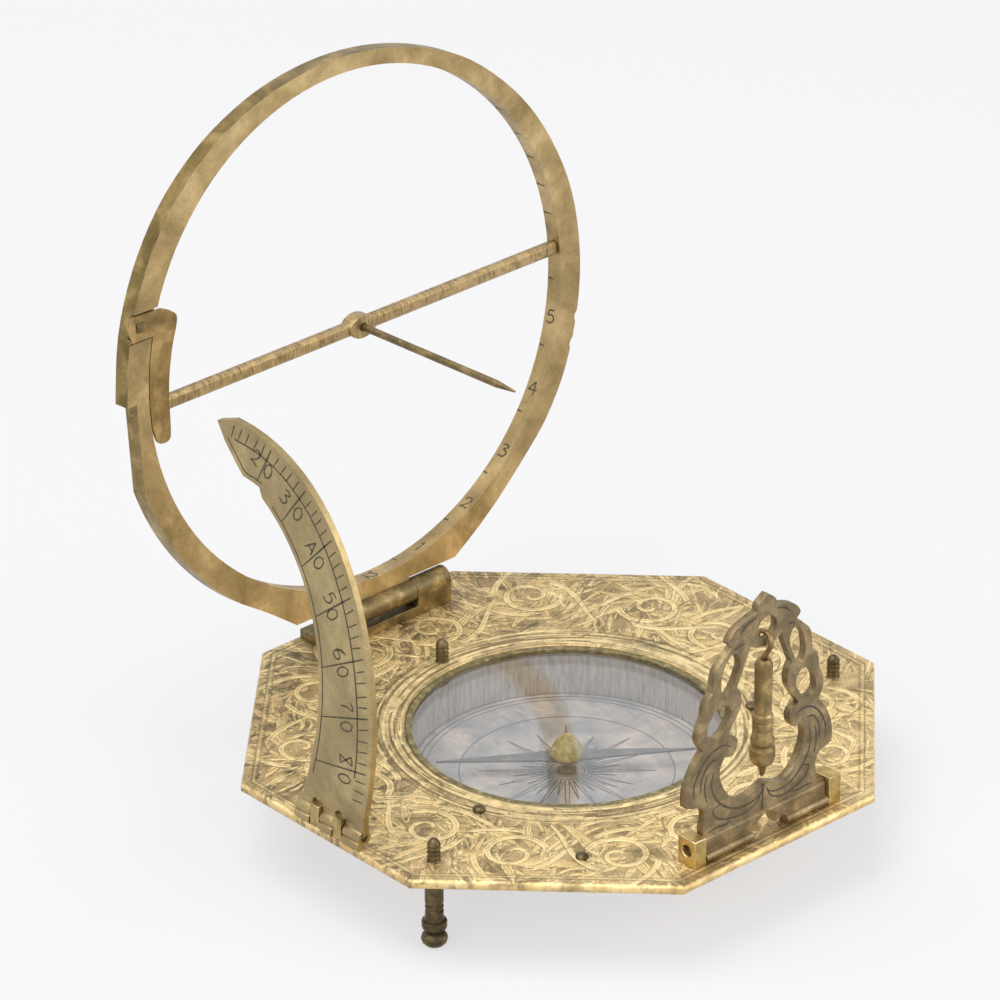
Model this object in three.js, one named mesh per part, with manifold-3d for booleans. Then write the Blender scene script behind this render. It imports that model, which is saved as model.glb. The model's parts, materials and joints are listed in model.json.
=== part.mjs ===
// Folding pocket sundial in gilt brass: an octagonal plate on three turned feet, with a sunk compass,
// a hinged hour ring that carries the gnomon bar, a hinged latitude arc and a hinged plummet frame.
// Millimetres, +Z up. The origin is the centre of the compass box's underside; the latitude arc
// stands on the -X side, the plummet frame on the -Y side and the hour ring's hinge on the +Y side.
import * as THREE from "three";
import { mergeVertices } from "three/addons/utils/BufferGeometryUtils.js";
import Module from "manifold-3d";

const wasm = await Module();
wasm.setup();
const degree = Math.PI / 180;
const weld = 0.0001;       // points closer than this are one point
const overrun = 0.5;       // how far a cutter runs past the face that it cuts
const runningFit = 0.05;   // radial clearance of a pin in its bore
const seatGap = 0.1;       // gap between a fixed piece and the piece that it is let into

// Plate
const plateWidth = 60.1;
const plateLength = 59.2;
const plateShift = 0.6;        // the plate's middle lies this far behind the compass
const plateThick = 0.95;
const plateCorner = 17.8;      // leg of each cut corner
const plateBevel = 0.2;
const windowRadius = 15.44;

// Compass box, its dial and its glass
const boxDepth = 6.4;          // from the plate's top face to the box's underside
const boxLap = 0.46;           // the box's wall reaches this far outside the window
const glassSeat = 0.54;        // and this far inside it, under the glass
const boxFloor = 0.6;
const dialThick = 0.7;
const dialPlay = 0.1;
const glassThick = 0.6;
const glassPlay = 0.09;
const glassRingThick = 0.28;
const glassRingWidth = 0.6;
const lugThick = 0.8;
const lugRadius = 1.7;
const lugAngles = [91.7, 200.2, 328.5];
const rivetReach = 2.05;       // from the box's wall to a box rivet

// Compass needle
const needleTipGap = 2.35;     // from the needle's tip to the box's wall
const needleWidth = 1.5;
const needleThick = 0.25;
const needleRise = 1.55;       // needle's underside above the dial
const needleAngle = -36.6;
const needleEyeAngles = [40, 65, 90, 115, 140];
const capRadius = 1.65;
const capHeight = 2.2;
const capShares = [[1, 0], [1, 0.15], [0.72, 0.6], [0.36, 0.92], [0, 1]];
const capSpigotRadius = 0.8;
const capHollowRadius = 0.55;
const capHollowDepth = 1.5;
const pivotRadius = 0.28;
const pivotPoint = 1.12;       // length of the pivot's tapered end
const pivotFootRadius = 0.9;
const pivotFootThick = 0.35;

// Feet: a turned leg under the plate and a threaded stud above it
const footLength = 8.25;
const footRadius = 0.88;
const footBallRadius = 1.28;
const footCollarRadius = 1.2;
const footFlatRadius = 0.5;
const footGroove = 0.14;
const footBoxGap = 0.42;       // from the first foot's leg to the compass box
// Shares of the foot's length below the plate, then of the stud's height above it
const ballShares = [0.89, 0.11];
const ballAngles = [-67, -45, -22, 0, 22, 45, 62];
const collarShares = [0.765, 0.745, 0.66, 0.64];
const grooveShares = [0.53, 0.47];
const grooveWallShares = [0, 0.012, 0.03, 0.042];
const studHeight = 2.35;
const studRadius = 0.66;
const studThread = 0.11;
const threadShares = [0.06, 0.26, 0.46];
const threadPitchShare = 0.1;
const studDomeShare = 0.64;
const studDomeAngles = [12, 35, 58];
const sideFootShares = [[0.837, -0.348], [-0.862, -0.335]];

// Rivets
const rivetHeadRadius = 0.62;
const rivetHeadHeight = 0.4;
const rivetShankRadius = 0.38;
const plateRivetShares = [-0.517, -0.627];

// Hour ring, in its own plane: x to the right, y up from the hinge axis, z out of the front face
const ringOuter = 28.6;
const ringInner = 26;
const ringThick = 1.8;
const ringHingeGap = 0.25;     // from the hinge axis to the ring's outer circle
const ringLean = 5.32;         // degrees that the ring leans back beyond upright
// [angle, share of the outer radius]: the rim is worn thin at the top and right of the tail
const rimShares = [[-45, 0.981], [-36, 0.993], [-25, 0.999], [-12, 1], [0, 1], [13, 0.998], [27, 0.988],
  [40, 0.98], [54, 0.975], [66, 0.967], [78, 0.963], [90, 0.965], [102, 0.971], [113, 0.98], [125, 0.991],
  [138, 0.999], [151, 1], [164, 1]];
const rimSteps = 78;
const ringFlatX = 27.45;       // the filed flat on the left rim
const ringFlatTop = 1.3;
const tailHalf = 10.2;
const tailShift = -0.5;
const tailBottom = 1.4;
const tailCuspAngle = 36.8;
const tailHollowShares = [0.82, 0.905];
const scallopRadius = 0.9;
const scallopDepth = 0.25;
const scallopAngles = [-15.4, -20.9];

// Ring hinge
const ringInset = 3.6;         // from the plate's back edge to the hinge axis
const ringHingeY = plateShift + plateLength / 2 - ringInset;
const knuckleRadius = 1.15;
const leafThick = 1;
const leafInset = 0.3;         // from the plate's back edge to the leaf
const knuckleLift = 0.25;      // running gap between the ring's knuckle and the leaf
const hingeLeft = -7.7;
const leftKnuckle = 4.3;
const ringKnuckle = 7.04;
const rightKnuckle = 4.35;
const knuckleGap = 0.05;
const ringPinRadius = 0.5;

// Gnomon bar and its pin
const barHeight = 1.35;
const barDepth = 1.1;
const barChamfer = 0.26;
const barJournalRadius = 0.45;
const journalLength = 2.25;
const barEndGap = 0.12;
const barPivotRadius = 0.25;
const barPivotDepth = 1.1;
const bossShift = 0.6;
const bossHalfLength = 1.65;
const bossHalfHeight = 1.1;
const bossDepth = 1.5;
const barTurn = 2.2;           // degrees that the pin droops from square to the ring
const pinReach = 22.3;         // from the bar's axis to the pin's tip
const pinRadius = 0.37;
const pinPoint = 2.6;          // length of the pin's tapered end
const pinTipRadius = 0.1;

// Leaf spring that presses on the bar's left journal
const springThick = 0.35;
const springTabInset = 1.2;    // from the ring's outer circle to the tab's left edge
const springTabLeft = ringOuter - springTabInset;
const springTabHalf = 1.3;
const springTabRise = 8.7;
const springEdgeAngles = [163, 168, 173, 178, 183];
const springShares = [[-0.9, 1.12], [-0.861, 1.06], [-0.835, 0.95], [-0.869, 0.645],
  [-0.896, 0.292], [-0.905, 0], [-0.911, -0.33], [-0.93, -0.4], [-0.965, -0.39], [-0.978, -0.32]];
const springRivetHalf = 0.45;
const springRivetRise = 0.15;
const springRivetRadius = 0.3;

// Latitude arc, upright on the -X side
const arcHeight = 37.95;
const arcThick = 0.65;
const arcBack = 0.3;           // the arc's outer face lies this far outside its hinge axis
const arcInset = 0.85;         // from the plate's left edge to the hinge axis
const arcHingeX = -(plateWidth / 2 - arcInset);
const arcHingeRise = 1;
const arcKnuckleRadius = 0.75;
const arcPinRadius = 0.35;
const arcHingeStart = -4.2;
const arcHingeLength = 8.9;
const arcFootShares = [[0, 0.258], [0.416, 0.618], [0.775, 1]];
const arcPostShares = [[0.27, 0.404], [0.629, 0.764]];
const arcFootReach = 0.85;
const arcFootThick = 0.65;
const arcPostHeight = 2.2;
const arcPostHalf = 0.775;
const arcNotchGap = 0.2;
const arcNotchRise = 0.5;
const arcOuterShares = [[-0.1165, 0.086], [-0.21, 0.404], [-0.139, 1.012], [0.337, 1]];
const arcInnerShares = [[0.115, 0.048], [0.012, 0.309], [-0.013, 0.66], [0.239, 0.826]];
const arcTipShares = [[0.4, 0.975], [0.373, 0.929], [0.33, 0.88], [0.308, 0.859], [0.275, 0.856],
  [0.249, 0.852]];

// Plummet frame, upright on the -Y side
const frameHeight = 24.97;
const frameThick = 0.8;
const frameInset = 2.65;       // from the plate's front edge to the hinge axis
const frameHingeY = plateShift - plateLength / 2 + frameInset;
const frameHingeRise = 1.5;
const frameKnuckleRadius = 0.95;
const frameKnuckleFront = 0.65;  // the knuckle is cut flat this far in front of its axis
const frameHingeHalf = 7.8;
const frameHingeShift = -0.1;
const frameLeftShare = 1.282;  // the frame's widest points, as shares of the hinge's half length
const frameRightShare = 1.1038;
const frameEndGap = 0.08;
const frameBlockWidth = 1.5;
const frameBlockFront = 1.1;
const frameBlockBack = 1.15;
const frameBlockHeight = 2.8;
const framePinRadius = 0.55;   // in the block
const framePivotRadius = 0.42; // in the frame
const framePinInset = 0.4;
const framePinReach = 1.5;
const frameFootReach = 1.2;
const frameFootEdge = 0.9;
const frameCoveRise = 2.6;
const frameFootGapShares = [-0.256, 0.308];
const frameNotchHalf = 1.3;
const frameNotchTop = 2.35;
const tenonRadius = 0.45;
// The right half's outline from the base up; each run is one smooth stretch between corners
const frameOuterShares = [
  [[0.783, 0.06], [0.783, 0.138]],
  [[0.783, 0.138], [0.762, 0.191], [0.81, 0.228], [0.913, 0.24], [1, 0.2535]],
  [[1, 0.2535], [1.005, 0.3], [0.978, 0.348], [0.898, 0.409], [0.79, 0.458]],
  [[0.79, 0.458], [0.858, 0.511], [0.84, 0.555], [0.785, 0.6]],
  [[0.785, 0.6], [0.762, 0.651], [0.682, 0.686]],
  [[0.682, 0.686], [0.646, 0.7685], [0.54, 0.811], [0.4355, 0.845]],
  [[0.4355, 0.845], [0.491, 0.867], [0.4, 0.9075], [0.237, 0.932], [0.1324, 0.94]],
  [[0.1324, 0.94], [0.11, 0.972], [0, 1]],
];
// The middle opening's right half, from the hook's bar down to the index cusp
const frameInnerShares = [
  [[0, 0.789], [0.116, 0.793], [0.216, 0.812]],
  [[0.216, 0.812], [0.2474, 0.776], [0.3264, 0.707], [0.374, 0.6676]],
  [[0.374, 0.6676], [0.332, 0.6396], [0.3124, 0.604], [0.3368, 0.567], [0.431, 0.5134], [0.4925, 0.48]],
  [[0.4925, 0.48], [0.389, 0.465], [0.354, 0.4317], [0.418, 0.3885], [0.5226, 0.3965]],
  [[0.5226, 0.3965], [0.58, 0.3444], [0.5517, 0.2883], [0.453, 0.2243], [0.33, 0.19],
    [0.2265, 0.185], [0.122, 0.197], [0, 0.2135]],
];
const frameUpperHoleShares = [[0.335, 0.765], [0.415, 0.815], [0.55, 0.76], [0.575, 0.69], [0.53, 0.648],
  [0.44, 0.668]];
const frameMiddleHoleShares = [[0.44, 0.575], [0.52, 0.618], [0.64, 0.604], [0.73, 0.56], [0.742, 0.515],
  [0.66, 0.489], [0.535, 0.508]];
const crownHoleShare = 0.861;
const crownHoleRadius = 1.2;

// Plumb bob and its hook
const bobLengthShare = 0.85;   // of the height from the index cusp to the hook's bar
const bobRadius = 1.22;
const bobTipGap = 0.3;         // from the index cusp to the bob's tip
const hookWire = 0.27;
const hookBend = 0.92;
const hookSocketDepth = 1.2;
// [share of the radius, share of the length] from the tip up
const bobShares = [[0, 0], [0.18, 0.022], [0.34, 0.083], [0.45, 0.1], [0.86, 0.135], [1, 0.18], [1, 0.25],
  [0.82, 0.266], [0.78, 0.284], [0.92, 0.3], [0.92, 0.335], [0.8, 0.352], [0.8, 0.396], [0.74, 0.405],
  [0.8, 0.414], [0.8, 0.466], [0.74, 0.475], [0.8, 0.484], [0.8, 0.53], [0.67, 0.546], [0.7, 0.956],
  [0.5, 1]];

// Worked out from the sizes above
const plateTop = boxDepth;
const plateUnder = plateTop - plateThick;
const boxOuter = windowRadius + boxLap;
const boxInner = windowRadius - glassSeat;
const dialTop = boxFloor + dialThick;
const ringHingeZ = plateTop + leafThick + knuckleLift + knuckleRadius;
const ringCentre = ringOuter + ringHingeGap;
const ringBack = -ringThick;
const barSetback = ringThick / 2;
const hingeEnds = [hingeLeft, hingeLeft + leftKnuckle, hingeLeft + leftKnuckle + knuckleGap];
hingeEnds.push(hingeEnds[2] + ringKnuckle, hingeEnds[2] + ringKnuckle + knuckleGap);
hingeEnds.push(hingeEnds[4] + rightKnuckle);
const arcHingeZ = plateTop + arcHingeRise;
const arcOuterX = arcHingeX - arcBack;
const frameHingeZ = plateTop + frameHingeRise;
const frameLeft = frameLeftShare * frameHingeHalf;
const frameRight = frameRightShare * frameHingeHalf;
const hookBarZ = plateTop + (crownHoleShare * frameHeight - crownHoleRadius
  + frameInnerShares[0][0][1] * frameHeight) / 2;
const cuspZ = plateTop + frameInnerShares.at(-1).at(-1)[1] * frameHeight;
const bobLength = bobLengthShare * (hookBarZ - cuspZ);
const needleUnder = dialTop + needleRise;

// Solids
function toSolid(geometry) {
  const bare = geometry.clone();
  bare.deleteAttribute("normal");
  bare.deleteAttribute("uv");
  const merged = mergeVertices(bare, weld);
  const corners = merged.index.array;
  const points = merged.attributes.position;
  const a = new THREE.Vector3();
  const b = new THREE.Vector3();
  const c = new THREE.Vector3();
  const kept = [];
  let volume = 0;
  for (let i = 0; i < corners.length; i += 3) {
    const [p, q, r] = corners.slice(i, i + 3);
    if (p === q || q === r || r === p) continue;
    kept.push(p, q, r);
    volume += a.fromBufferAttribute(points, p)
      .dot(b.fromBufferAttribute(points, q).cross(c.fromBufferAttribute(points, r)));
  }
  if (volume < 0) kept.reverse();
  const triVerts = new Uint32Array(kept);
  return new wasm.Manifold(new wasm.Mesh({ numProp: 3, vertProperties: points.array, triVerts }));
}

function toGeometry(solid) {
  const { vertProperties, triVerts } = solid.getMesh();
  const geometry = new THREE.BufferGeometry();
  geometry.setAttribute("position", new THREE.BufferAttribute(vertProperties, 3));
  geometry.setIndex(new THREE.BufferAttribute(triVerts, 1));
  geometry.computeVertexNormals();
  return geometry;
}

const join = (first, ...rest) => rest.reduce((whole, piece) => whole.add(piece), first);
const cut = (first, ...rest) => rest.reduce((whole, piece) => whole.subtract(piece), first);

function block([x0, x1], [y0, y1], [z0, z1]) {
  const box = new THREE.BoxGeometry(x1 - x0, y1 - y0, z1 - z0);
  return toSolid(box.translate((x0 + x1) / 2, (y0 + y1) / 2, (z0 + z1) / 2));
}

function rod(axis, radius, [from, to], [u, v], sides = 20) {
  const shape = new THREE.CylinderGeometry(radius, radius, to - from, sides);
  const middle = (from + to) / 2;
  if (axis === "x") shape.rotateZ(-90 * degree).translate(middle, u, v);
  if (axis === "y") shape.translate(u, middle, v);
  if (axis === "z") shape.rotateX(90 * degree).translate(u, v, middle);
  return toSolid(shape);
}

function turned(profile, [x, y], sides = 20) {
  const points = profile.map(([radius, height]) => new THREE.Vector2(radius, height));
  const shape = new THREE.LatheGeometry(points, sides);
  return toSolid(shape.rotateX(90 * degree).translate(x, y, 0));
}

function slab(shape, thick, curveSegments = 12) {
  return new THREE.ExtrudeGeometry(shape, { depth: thick, bevelEnabled: false, curveSegments });
}

const alongX = new THREE.Matrix4().makeBasis(
  new THREE.Vector3(0, 1, 0), new THREE.Vector3(0, 0, 1), new THREE.Vector3(1, 0, 0));
const alongMinusY = new THREE.Matrix4().makeBasis(
  new THREE.Vector3(1, 0, 0), new THREE.Vector3(0, 0, 1), new THREE.Vector3(0, -1, 0));

function plain(points) {
  return new THREE.Shape(points.map(([x, y]) => new THREE.Vector2(x, y)));
}

function polar(radius, angle) {
  return [radius * Math.cos(angle * degree), radius * Math.sin(angle * degree)];
}

// Smooth stretches that meet at corners, as one list of points
function runPoints(runs, steps) {
  return runs.flatMap(run => {
    if (run.length === 2) return [run[0]];
    const curve = new THREE.SplineCurve(run.map(([x, y]) => new THREE.Vector2(x, y)));
    return curve.getPoints((run.length - 1) * steps).slice(0, -1).map(point => [point.x, point.y]);
  });
}

function closedCurve(points, steps) {
  const curve = new THREE.CatmullRomCurve3(points.map(([x, y]) => new THREE.Vector3(x, y, 0)), true);
  return curve.getPoints(points.length * steps).slice(0, -1).map(point => [point.x, point.y]);
}

// Finishes
const brass = [0x9c8858, 0.42, 0.9];
const giltBrass = [0xc9a658, 0.38, 0.9];
const paleBrass = [0xb89a4c, 0.35, 0.9];
const darkBrass = [0x6f6147, 0.5, 0.85];
const silvered = [0xa9a9a2, 0.5, 0.6];
const blueSteel = [0x3c4046, 0.35, 0.9];
const clearGlass = [0xc4d0d2, 0.08, 0];

const sundial = new THREE.Group();

function addPiece(name, solid, [color, roughness, metalness], parent = sundial) {
  const finish = { color, roughness, metalness };
  if (color === clearGlass[0]) Object.assign(finish, { transparent: true, opacity: 0.35 });
  const mesh = new THREE.Mesh(toGeometry(solid), new THREE.MeshStandardMaterial(finish));
  mesh.name = name;
  parent.add(mesh);
}

// Places that several pieces share
const halfPlate = plateWidth / 2;
const firstFoot = polar(boxOuter + footRadius + footBoxGap, lugAngles[0]);
const footPlaces = [firstFoot, ...sideFootShares.map(([x, y]) => [x * halfPlate, y * halfPlate])];
const boxRivetPlaces = lugAngles.slice(1).map(angle => polar(boxOuter + rivetReach, angle));
const plateRivetPlace = plateRivetShares.map(share => share * halfPlate);
const arcHingeAt = share => arcHingeStart + share * arcHingeLength;
const arcPostSpans = arcPostShares.map(([from, to]) => [arcHingeAt(from), arcHingeAt(to)]);
const arcPostMiddle = span => [arcHingeX, (span[0] + span[1]) / 2];
const frameSides = [["left", -1], ["right", 1]];
const frameBlockMiddle = side => [
  frameHingeShift + side * (frameHingeHalf + frameEndGap + frameBlockWidth / 2),
  frameHingeY + (frameBlockBack - frameBlockFront) / 2];

// Base plate: an octagon with a bevelled edge, the compass window and the holes of what it carries
function octagon(inset) {
  const x = plateWidth / 2 - inset;
  const y = plateLength / 2 - inset;
  const leg = plateCorner - inset * (2 - Math.SQRT2);
  const corners = [[x, y - leg], [x - leg, y], [leg - x, y], [-x, y - leg],
    [-x, leg - y], [leg - x, -y], [x - leg, -y], [x, leg - y]];
  return plain(corners.map(([u, v]) => [u, v + plateShift]));
}

function basePlate() {
  const bevelled = new THREE.ExtrudeGeometry(octagon(plateBevel), { depth: plateThick - 2 * plateBevel,
    bevelThickness: plateBevel, bevelSize: plateBevel, bevelSegments: 1 });
  const plate = toSolid(bevelled.translate(0, 0, plateUnder + plateBevel));
  const through = [plateUnder - overrun, plateTop + overrun];
  const hole = (radius, place, sides) => rod("z", radius, through, place, sides);
  const tenons = [...arcPostSpans.map(arcPostMiddle),
    ...frameSides.map(([, side]) => frameBlockMiddle(side))];
  return cut(plate, hole(windowRadius, [0, 0], 72),
    ...footPlaces.map(place => hole(studRadius + runningFit, place)),
    ...[...boxRivetPlaces, plateRivetPlace].map(place => hole(rivetShankRadius + runningFit, place)),
    ...tenons.map(place => hole(tenonRadius + runningFit, place)));
}

// Compass box: a drum with three lugs under the plate
function compassBox() {
  const drum = turned([[0, 0], [boxOuter, 0], [boxOuter, plateUnder], [boxInner, plateUnder],
    [boxInner, boxFloor], [0, boxFloor]], [0, 0], 72);
  const places = [firstFoot, ...boxRivetPlaces];
  const lugs = places.map((place, i) => {
    const reach = Math.hypot(...place);
    const arm = new THREE.BoxGeometry(reach - boxInner, 2 * lugRadius, lugThick)
      .translate((reach + boxInner) / 2, 0, plateUnder - lugThick / 2).rotateZ(lugAngles[i] * degree);
    return join(toSolid(arm), rod("z", lugRadius, [plateUnder - lugThick, plateUnder], place, 24));
  });
  const hollow = rod("z", boxInner, [boxFloor, plateUnder + overrun], [0, 0], 72);
  const holes = places.map((place, i) => rod("z", (i ? rivetShankRadius : studRadius) + runningFit,
    [plateUnder - lugThick - overrun, plateUnder + overrun], place));
  return cut(join(drum, ...lugs), hollow, ...holes);
}

function glassRing() {
  const outer = windowRadius - glassPlay;
  const inner = outer - glassRingWidth;
  const [low, high] = [plateUnder + glassThick, plateUnder + glassThick + glassRingThick];
  return turned([[inner, low], [outer, low], [outer, high], [inner, high], [inner, low]], [0, 0], 72);
}

function needlePivot() {
  const tip = needleUnder + capHollowDepth - runningFit;
  return turned([[0, dialTop], [pivotFootRadius, dialTop], [pivotFootRadius, dialTop + pivotFootThick],
    [pivotRadius, dialTop + 2 * pivotFootThick], [pivotRadius, tip - pivotPoint], [0, tip]], [0, 0]);
}

function compassNeedle() {
  const reach = boxInner - needleTipGap;
  const eye = capSpigotRadius + needleWidth / 2;
  const half = needleEyeAngles.map(angle => polar(eye, angle));
  const blade = [[reach, 0], [2 * eye, needleWidth / 2], ...half, [-2 * eye, needleWidth / 2], [-reach, 0],
    [-2 * eye, -needleWidth / 2], ...half.map(([x, y]) => [-x, -y]), [2 * eye, -needleWidth / 2]];
  const flat = slab(plain(blade), needleThick);
  const needle = toSolid(flat.rotateZ(needleAngle * degree).translate(0, 0, needleUnder));
  return cut(needle, rod("z", capSpigotRadius + runningFit,
    [needleUnder - overrun, needleUnder + needleThick + overrun], [0, 0]));
}

function needleCap() {
  const seat = needleUnder + needleThick;
  const outside = capShares.map(([r, z]) => [r * capRadius, seat + z * capHeight]);
  return turned([[capHollowRadius, needleUnder], [capSpigotRadius, needleUnder], [capSpigotRadius, seat],
    ...outside, [0, needleUnder + capHollowDepth], [capHollowRadius, needleUnder]].reverse(), [0, 0]);
}

// Foot: flat-bottomed ball, collar, grooved leg and the threaded stud that points up through the plate
function foot(place, legTop) {
  const at = share => plateUnder - share * footLength;
  const above = share => plateTop + share * studHeight;
  const ballMiddle = at(ballShares[0]);
  const ballHalf = ballShares[1] * footLength;
  const ball = ballAngles.map(angle => [
    footBallRadius * Math.cos(angle * degree), ballMiddle + ballHalf * Math.sin(angle * degree)]);
  const collarRadii = [footBallRadius / 2, footCollarRadius, footCollarRadius, footRadius];
  const profile = [[0, ball[0][1]], [footFlatRadius, ball[0][1]], ...ball.slice(1),
    ...collarRadii.map((radius, i) => [radius, at(collarShares[i])])];
  const grooveRadii = [footRadius, footRadius - footGroove, footRadius - footGroove, footRadius];
  for (const share of grooveShares) {
    profile.push(...grooveRadii.map((radius, i) => [radius, at(share - grooveWallShares[i])]));
  }
  profile.push([footRadius, legTop], [studRadius, legTop], [studRadius, plateTop]);
  for (const share of threadShares) {
    profile.push([studRadius - studThread, above(share)], [studRadius, above(share + threadPitchShare)]);
  }
  profile.push([studRadius - studThread, above(studDomeShare)]);
  profile.push(...studDomeAngles.map(angle => [studRadius * Math.cos(angle * degree),
    above(studDomeShare + (1 - studDomeShare) * Math.sin(angle * degree))]), [0, above(1)]);
  return turned(profile, place, 14);
}

function rivet(place, under) {
  const dome = [[rivetHeadRadius, plateTop], [rivetHeadRadius, plateTop + rivetHeadHeight / 2],
    [rivetHeadRadius * 0.6, plateTop + rivetHeadHeight], [0, plateTop + rivetHeadHeight]];
  const foot = under - rivetHeadHeight / 2;
  return turned([[0, foot], [rivetHeadRadius, foot], [rivetHeadRadius, under],
    [rivetShankRadius, under], [rivetShankRadius, plateTop], ...dome], place, 20);
}

// Fixed half of the ring's hinge: a leaf at the plate's back edge with a knuckle at each end
function ringHingeLeaf() {
  const axis = [ringHingeY, ringHingeZ];
  const [front, back] = [ringHingeY - knuckleRadius, ringHingeY + ringInset - leafInset];
  const leaf = block([hingeEnds[0], hingeEnds[5]], [front, back], [plateTop, plateTop + leafThick]);
  const knuckle = span => join(rod("x", knuckleRadius, span, axis),
    block(span, [front, ringHingeY + knuckleRadius], [plateTop + leafThick / 2, ringHingeZ]));
  const knuckles = [[hingeEnds[0], hingeEnds[1]], [hingeEnds[4], hingeEnds[5]]].map(knuckle);
  const bore = rod("x", ringPinRadius + runningFit, [hingeEnds[0] - overrun, hingeEnds[5] + overrun], axis);
  return cut(join(leaf, ...knuckles), bore);
}

// Hour ring with its tail and knuckle
function hourRing() {
  const start = -90 + tailCuspAngle;
  const end = 270 - tailCuspAngle;
  const flatTopAngle = 180 - Math.asin(ringFlatTop / ringOuter) / degree;
  const flatEndAngle = 180 + Math.acos(ringFlatX / ringOuter) / degree;
  const outline = new THREE.Shape();
  const atCentre = ([x, y]) => [x, y + ringCentre];
  const rimPoints = [[start, rimShares[0][1]], ...rimShares, [flatTopAngle, 1]].map(([angle, share]) =>
    new THREE.Vector2(...atCentre(polar(share * ringOuter, angle))));
  const rim = new THREE.SplineCurve(rimPoints).getPoints(rimSteps);
  outline.moveTo(rim[0].x, rim[0].y);
  for (const point of rim.slice(1)) outline.lineTo(point.x, point.y);
  outline.lineTo(-ringFlatX, ringCentre + ringFlatTop);
  outline.lineTo(...atCentre(polar(ringOuter, flatEndAngle)));
  outline.absarc(0, ringCentre, ringOuter, flatEndAngle * degree, end * degree, false);
  const [cuspX] = polar(ringOuter, start);
  const [hollowX, hollowY] = [tailHollowShares[0] * cuspX, tailHollowShares[1] * (tailBottom - ringCentre)];
  outline.quadraticCurveTo(-hollowX, hollowY + ringCentre, tailShift - tailHalf, tailBottom);
  outline.lineTo(tailShift + tailHalf, tailBottom);
  outline.quadraticCurveTo(hollowX, hollowY + ringCentre, rim[0].x, rim[0].y);
  const disc = toSolid(slab(outline, ringThick, 18).translate(0, 0, ringBack));
  const through = [ringBack - overrun, overrun];
  const hole = rod("z", ringInner, through, [0, ringCentre], 112);
  const span = [hingeEnds[2], hingeEnds[3]];
  const knuckle = rod("x", knuckleRadius, span, [0, 0]);
  const web = block(span, [0, tailBottom + overrun], [-knuckleRadius, 0]);
  const bore = rod("x", ringPinRadius + runningFit, [span[0] - overrun, span[1] + overrun], [0, 0]);
  const scallops = scallopAngles.map(angle => rod("z", scallopRadius, through,
    atCentre(polar(ringOuter + scallopRadius - scallopDepth, angle)), 16));
  const tabMiddle = ringCentre + springTabRise;
  const recess = block([-springTabLeft - seatGap, ringInner * springShares[0][0] + overrun],
    [tabMiddle - springTabHalf - seatGap, tabMiddle + springTabHalf + seatGap],
    [-springThick - seatGap, overrun]);
  const rivetHole = rod("z", springRivetRadius + runningFit, through, springRivetPlace());
  const pivotHole = rod("x", barPivotRadius + runningFit, [-ringOuter - overrun, ringOuter + overrun],
    [ringCentre, -barSetback]);
  return cut(join(disc, knuckle, web), hole, bore, recess, rivetHole, pivotHole, ...scallops);
}

function springRivetPlace() {
  return [springTabHalf - springTabLeft - seatGap, ringCentre + springTabRise];
}

// Leaf spring: a tab let into the ring's face and a tongue that hangs down the ring's inner edge
function gnomonSpring() {
  const at = ([x, y]) => [x * (ringInner + seatGap), ringCentre + y * springTabRise];
  const [low, high] = [springTabRise - springTabHalf, springTabRise + springTabHalf];
  const tab = [[-springTabLeft, high], [-springTabLeft, low]].map(([x, y]) => [x, y + ringCentre]);
  const inner = ringInner - seatGap;
  const leftEdge = springEdgeAngles.map(angle => polar(inner, angle)).map(([x, y]) => [x, y + ringCentre]);
  const shoulder = [-Math.sqrt(inner * inner - low * low), low + ringCentre];
  const outline = [...tab, shoulder, ...leftEdge, ...freeEdge(springShares.map(at)).reverse()];
  const leaf = toSolid(slab(plain(outline), springThick).translate(0, 0, -springThick));
  return cut(leaf, rod("z", springRivetRadius + runningFit, [-springThick - overrun, overrun],
    springRivetPlace()));
}

// The tongue's free edge, smoothed, from the tab down to the rounded end
function freeEdge(points) {
  const curve = new THREE.SplineCurve(points.map(([x, y]) => new THREE.Vector2(x, y)));
  return curve.getPoints(points.length * 3).map(point => [point.x, point.y]);
}

function springRivet() {
  const [x, y] = springRivetPlace();
  const head = block([x - springRivetHalf, x + springRivetHalf], [y - springRivetHalf, y + springRivetHalf],
    [0, springRivetRise]);
  return join(head, rod("z", springRivetRadius, [ringBack, springRivetRise / 2], [x, y]));
}

// Gnomon bar, about its own axis: bevelled bar, oval boss, round journal behind the spring
function gnomonBar() {
  const [h, d, c] = [barHeight / 2, barDepth / 2, barChamfer];
  const section = plain([[h, d - c], [h - c, d], [c - h, d], [-h, d - c], [-h, c - d], [c - h, -d],
    [h - c, -d], [h, c - d]]);
  const end = ringInner - barEndGap;
  const left = end - journalLength;
  const bar = toSolid(slab(section, left + end).applyMatrix4(alongX).translate(-left, 0, 0));
  const journal = rod("x", barJournalRadius, [-end, -left + overrun], [0, 0]);
  const oval = new THREE.Shape();
  oval.absellipse(bossShift, 0, bossHalfLength, bossHalfHeight, 0, 2 * Math.PI, false, 0);
  const boss = toSolid(slab(oval, bossDepth, 16).translate(0, 0, -bossDepth / 2));
  const bores = [-1, 1].map(side => rod("x", barPivotRadius + runningFit,
    [side * end, side * (end - barPivotDepth - runningFit)].sort((a, b) => a - b)
      .map((x, i) => x + (side > 0 ? i : i - 1) * overrun), [0, 0]));
  const pinHole = rod("z", pinRadius + runningFit, [-bossDepth, bossDepth], [bossShift, 0]);
  return cut(join(bar, journal, boss), pinHole, ...bores);
}

function gnomonPin() {
  return turned([[0, -bossDepth / 2], [pinRadius, -bossDepth / 2], [pinRadius, pinReach - pinPoint],
    [pinTipRadius, pinReach], [0, pinReach]], [bossShift, 0], 16);
}

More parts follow.
